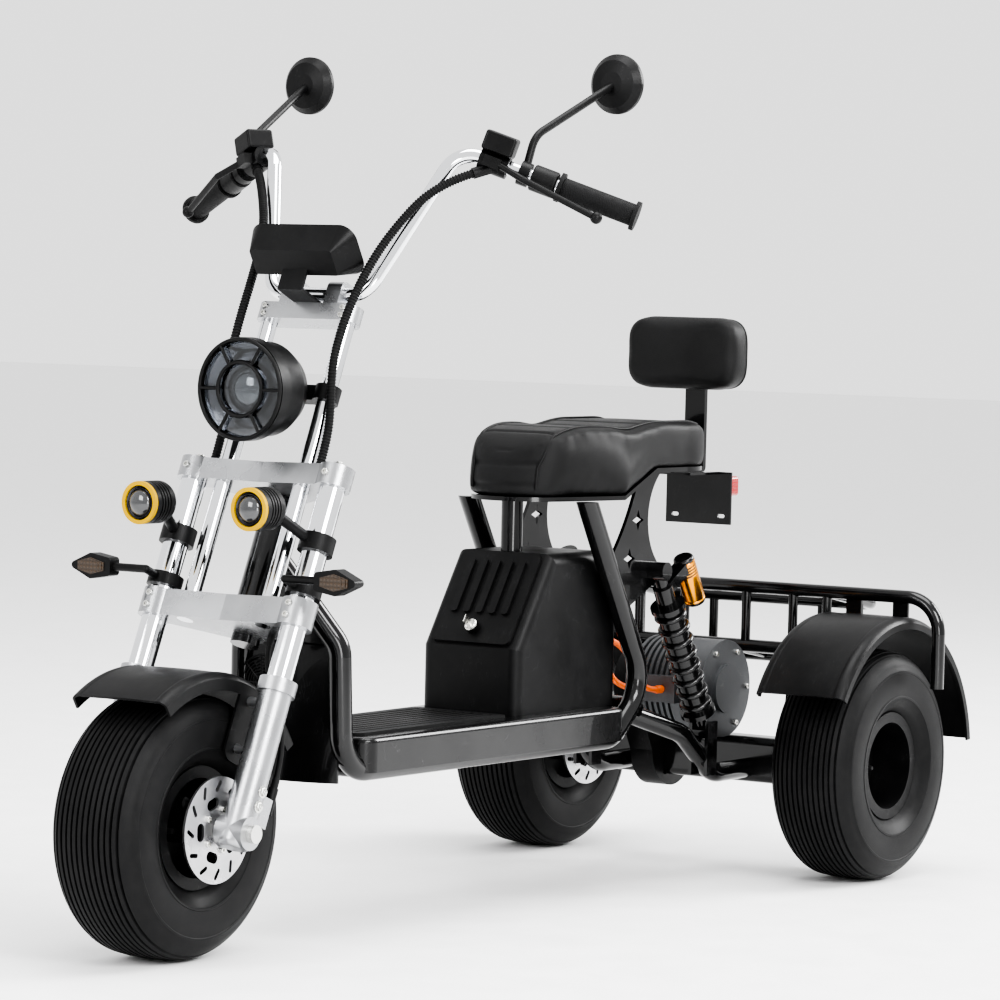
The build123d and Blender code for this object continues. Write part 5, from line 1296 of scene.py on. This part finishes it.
@dataclass
class Studio:
    """The camera at the photograph's angle, the pale floor and the soft lights."""

    eye: Point = (5.67585, 3.8291, 0.9703)
    heading: float = math.radians(-146.41)
    pitch: float = math.radians(-2.54)
    roll: float = math.radians(1.39)
    lens: float = 159.0
    sensor: float = 36.0
    shift: tuple[float, float] = (-0.0024, -0.0229)
    view_end: float = 100.0
    floor_size: float = 60.0
    floor_finish: Finish = Finish("floor", (0.86, 0.86, 0.86), (0.9, 0.9, 0.9), 0.62, scale=40.0,
                                  strength=0.02)
    world_colour: tuple[float, float, float, float] = (1.0, 1.0, 1.0, 1.0)
    world_strength: float = 1.1
    aim: Point = (0.0, 0.0, 0.5)
    panels: tuple[Panel, ...] = (
        Panel("key", (2.2, 4.6, 3.6), 2.4, 260.0), Panel("front", (5.2, -1.0, 2.6), 2.2, 120.0),
        Panel("back", (-4.4, 2.6, 3.0), 2.4, 300.0), Panel("top", (-0.2, 0.6, 4.6), 3.0, 170.0),
        Panel("low", (3.0, 3.6, 0.7), 1.2, 40.0))
    look: str = "AgX - High Contrast"

    def build(self) -> None:
        """Builds the floor, the lights and the camera."""
        self.add_floor()
        self.add_world()
        for panel in self.panels:
            self.add_light(panel)
        self.add_camera()
        bpy.context.scene.view_settings.look = self.look

    def add_floor(self) -> None:
        """Lays the plain pale floor."""
        mesh = bmesh.new()
        bmesh.ops.create_grid(mesh, x_segments=1, y_segments=1, size=self.floor_size / 2)
        data = bpy.data.meshes.new("floor")
        mesh.to_mesh(data)
        mesh.free()
        data.materials.append(self.floor_finish.build())
        floor = linked("floor", data)

    def add_world(self) -> None:
        """Gives the scene a white surrounding."""
        world = bpy.data.worlds.new("studio")
        world.use_nodes = True
        background = world.node_tree.nodes["Background"]
        background.inputs["Color"].default_value = self.world_colour
        background.inputs["Strength"].default_value = self.world_strength
        bpy.context.scene.world = world

    def add_light(self, panel: Panel) -> None:
        """Adds one soft light, aimed at the trike's middle.

        Args:
            panel: the light's name, place, size and power.
        """
        data = bpy.data.lights.new(panel.name, "AREA")
        data.size = panel.size
        data.energy = panel.power
        light = linked(panel.name, data)
        light.matrix_world = aimed(Vector(panel.spot), Vector(self.aim)) @ FLIP

    def add_camera(self) -> None:
        """Adds the camera at the photograph's angle."""
        ahead = Vector((math.cos(self.pitch) * math.cos(self.heading),
                        math.cos(self.pitch) * math.sin(self.heading), math.sin(self.pitch)))
        level = ahead.cross(Vector((0, 0, 1))).normalized()
        upright = level.cross(ahead)
        right = math.cos(self.roll) * level + math.sin(self.roll) * upright
        above = math.cos(self.roll) * upright - math.sin(self.roll) * level
        data = bpy.data.cameras.new("camera")
        data.lens = self.lens
        data.sensor_width = self.sensor
        data.shift_x, data.shift_y = self.shift
        data.clip_end = self.view_end
        camera = linked("camera", data)
        turn = Matrix((right, above, -ahead)).transposed().to_4x4()
        camera.matrix_world = Matrix.Translation(self.eye) @ turn
        bpy.context.scene.camera = camera


def main() -> None:
    """Builds every class in order."""
    logging.basicConfig(level=logging.INFO)
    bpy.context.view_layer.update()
    Effect.build_all()
    palette = Palette()
    palette.dress_nodes()
    for assembly in (Tyres, SoftGoods, Cords, Lamps, Fittings):
        assembly(palette.materials).build()
    Studio().build()


if __name__ == "__main__":
    main()
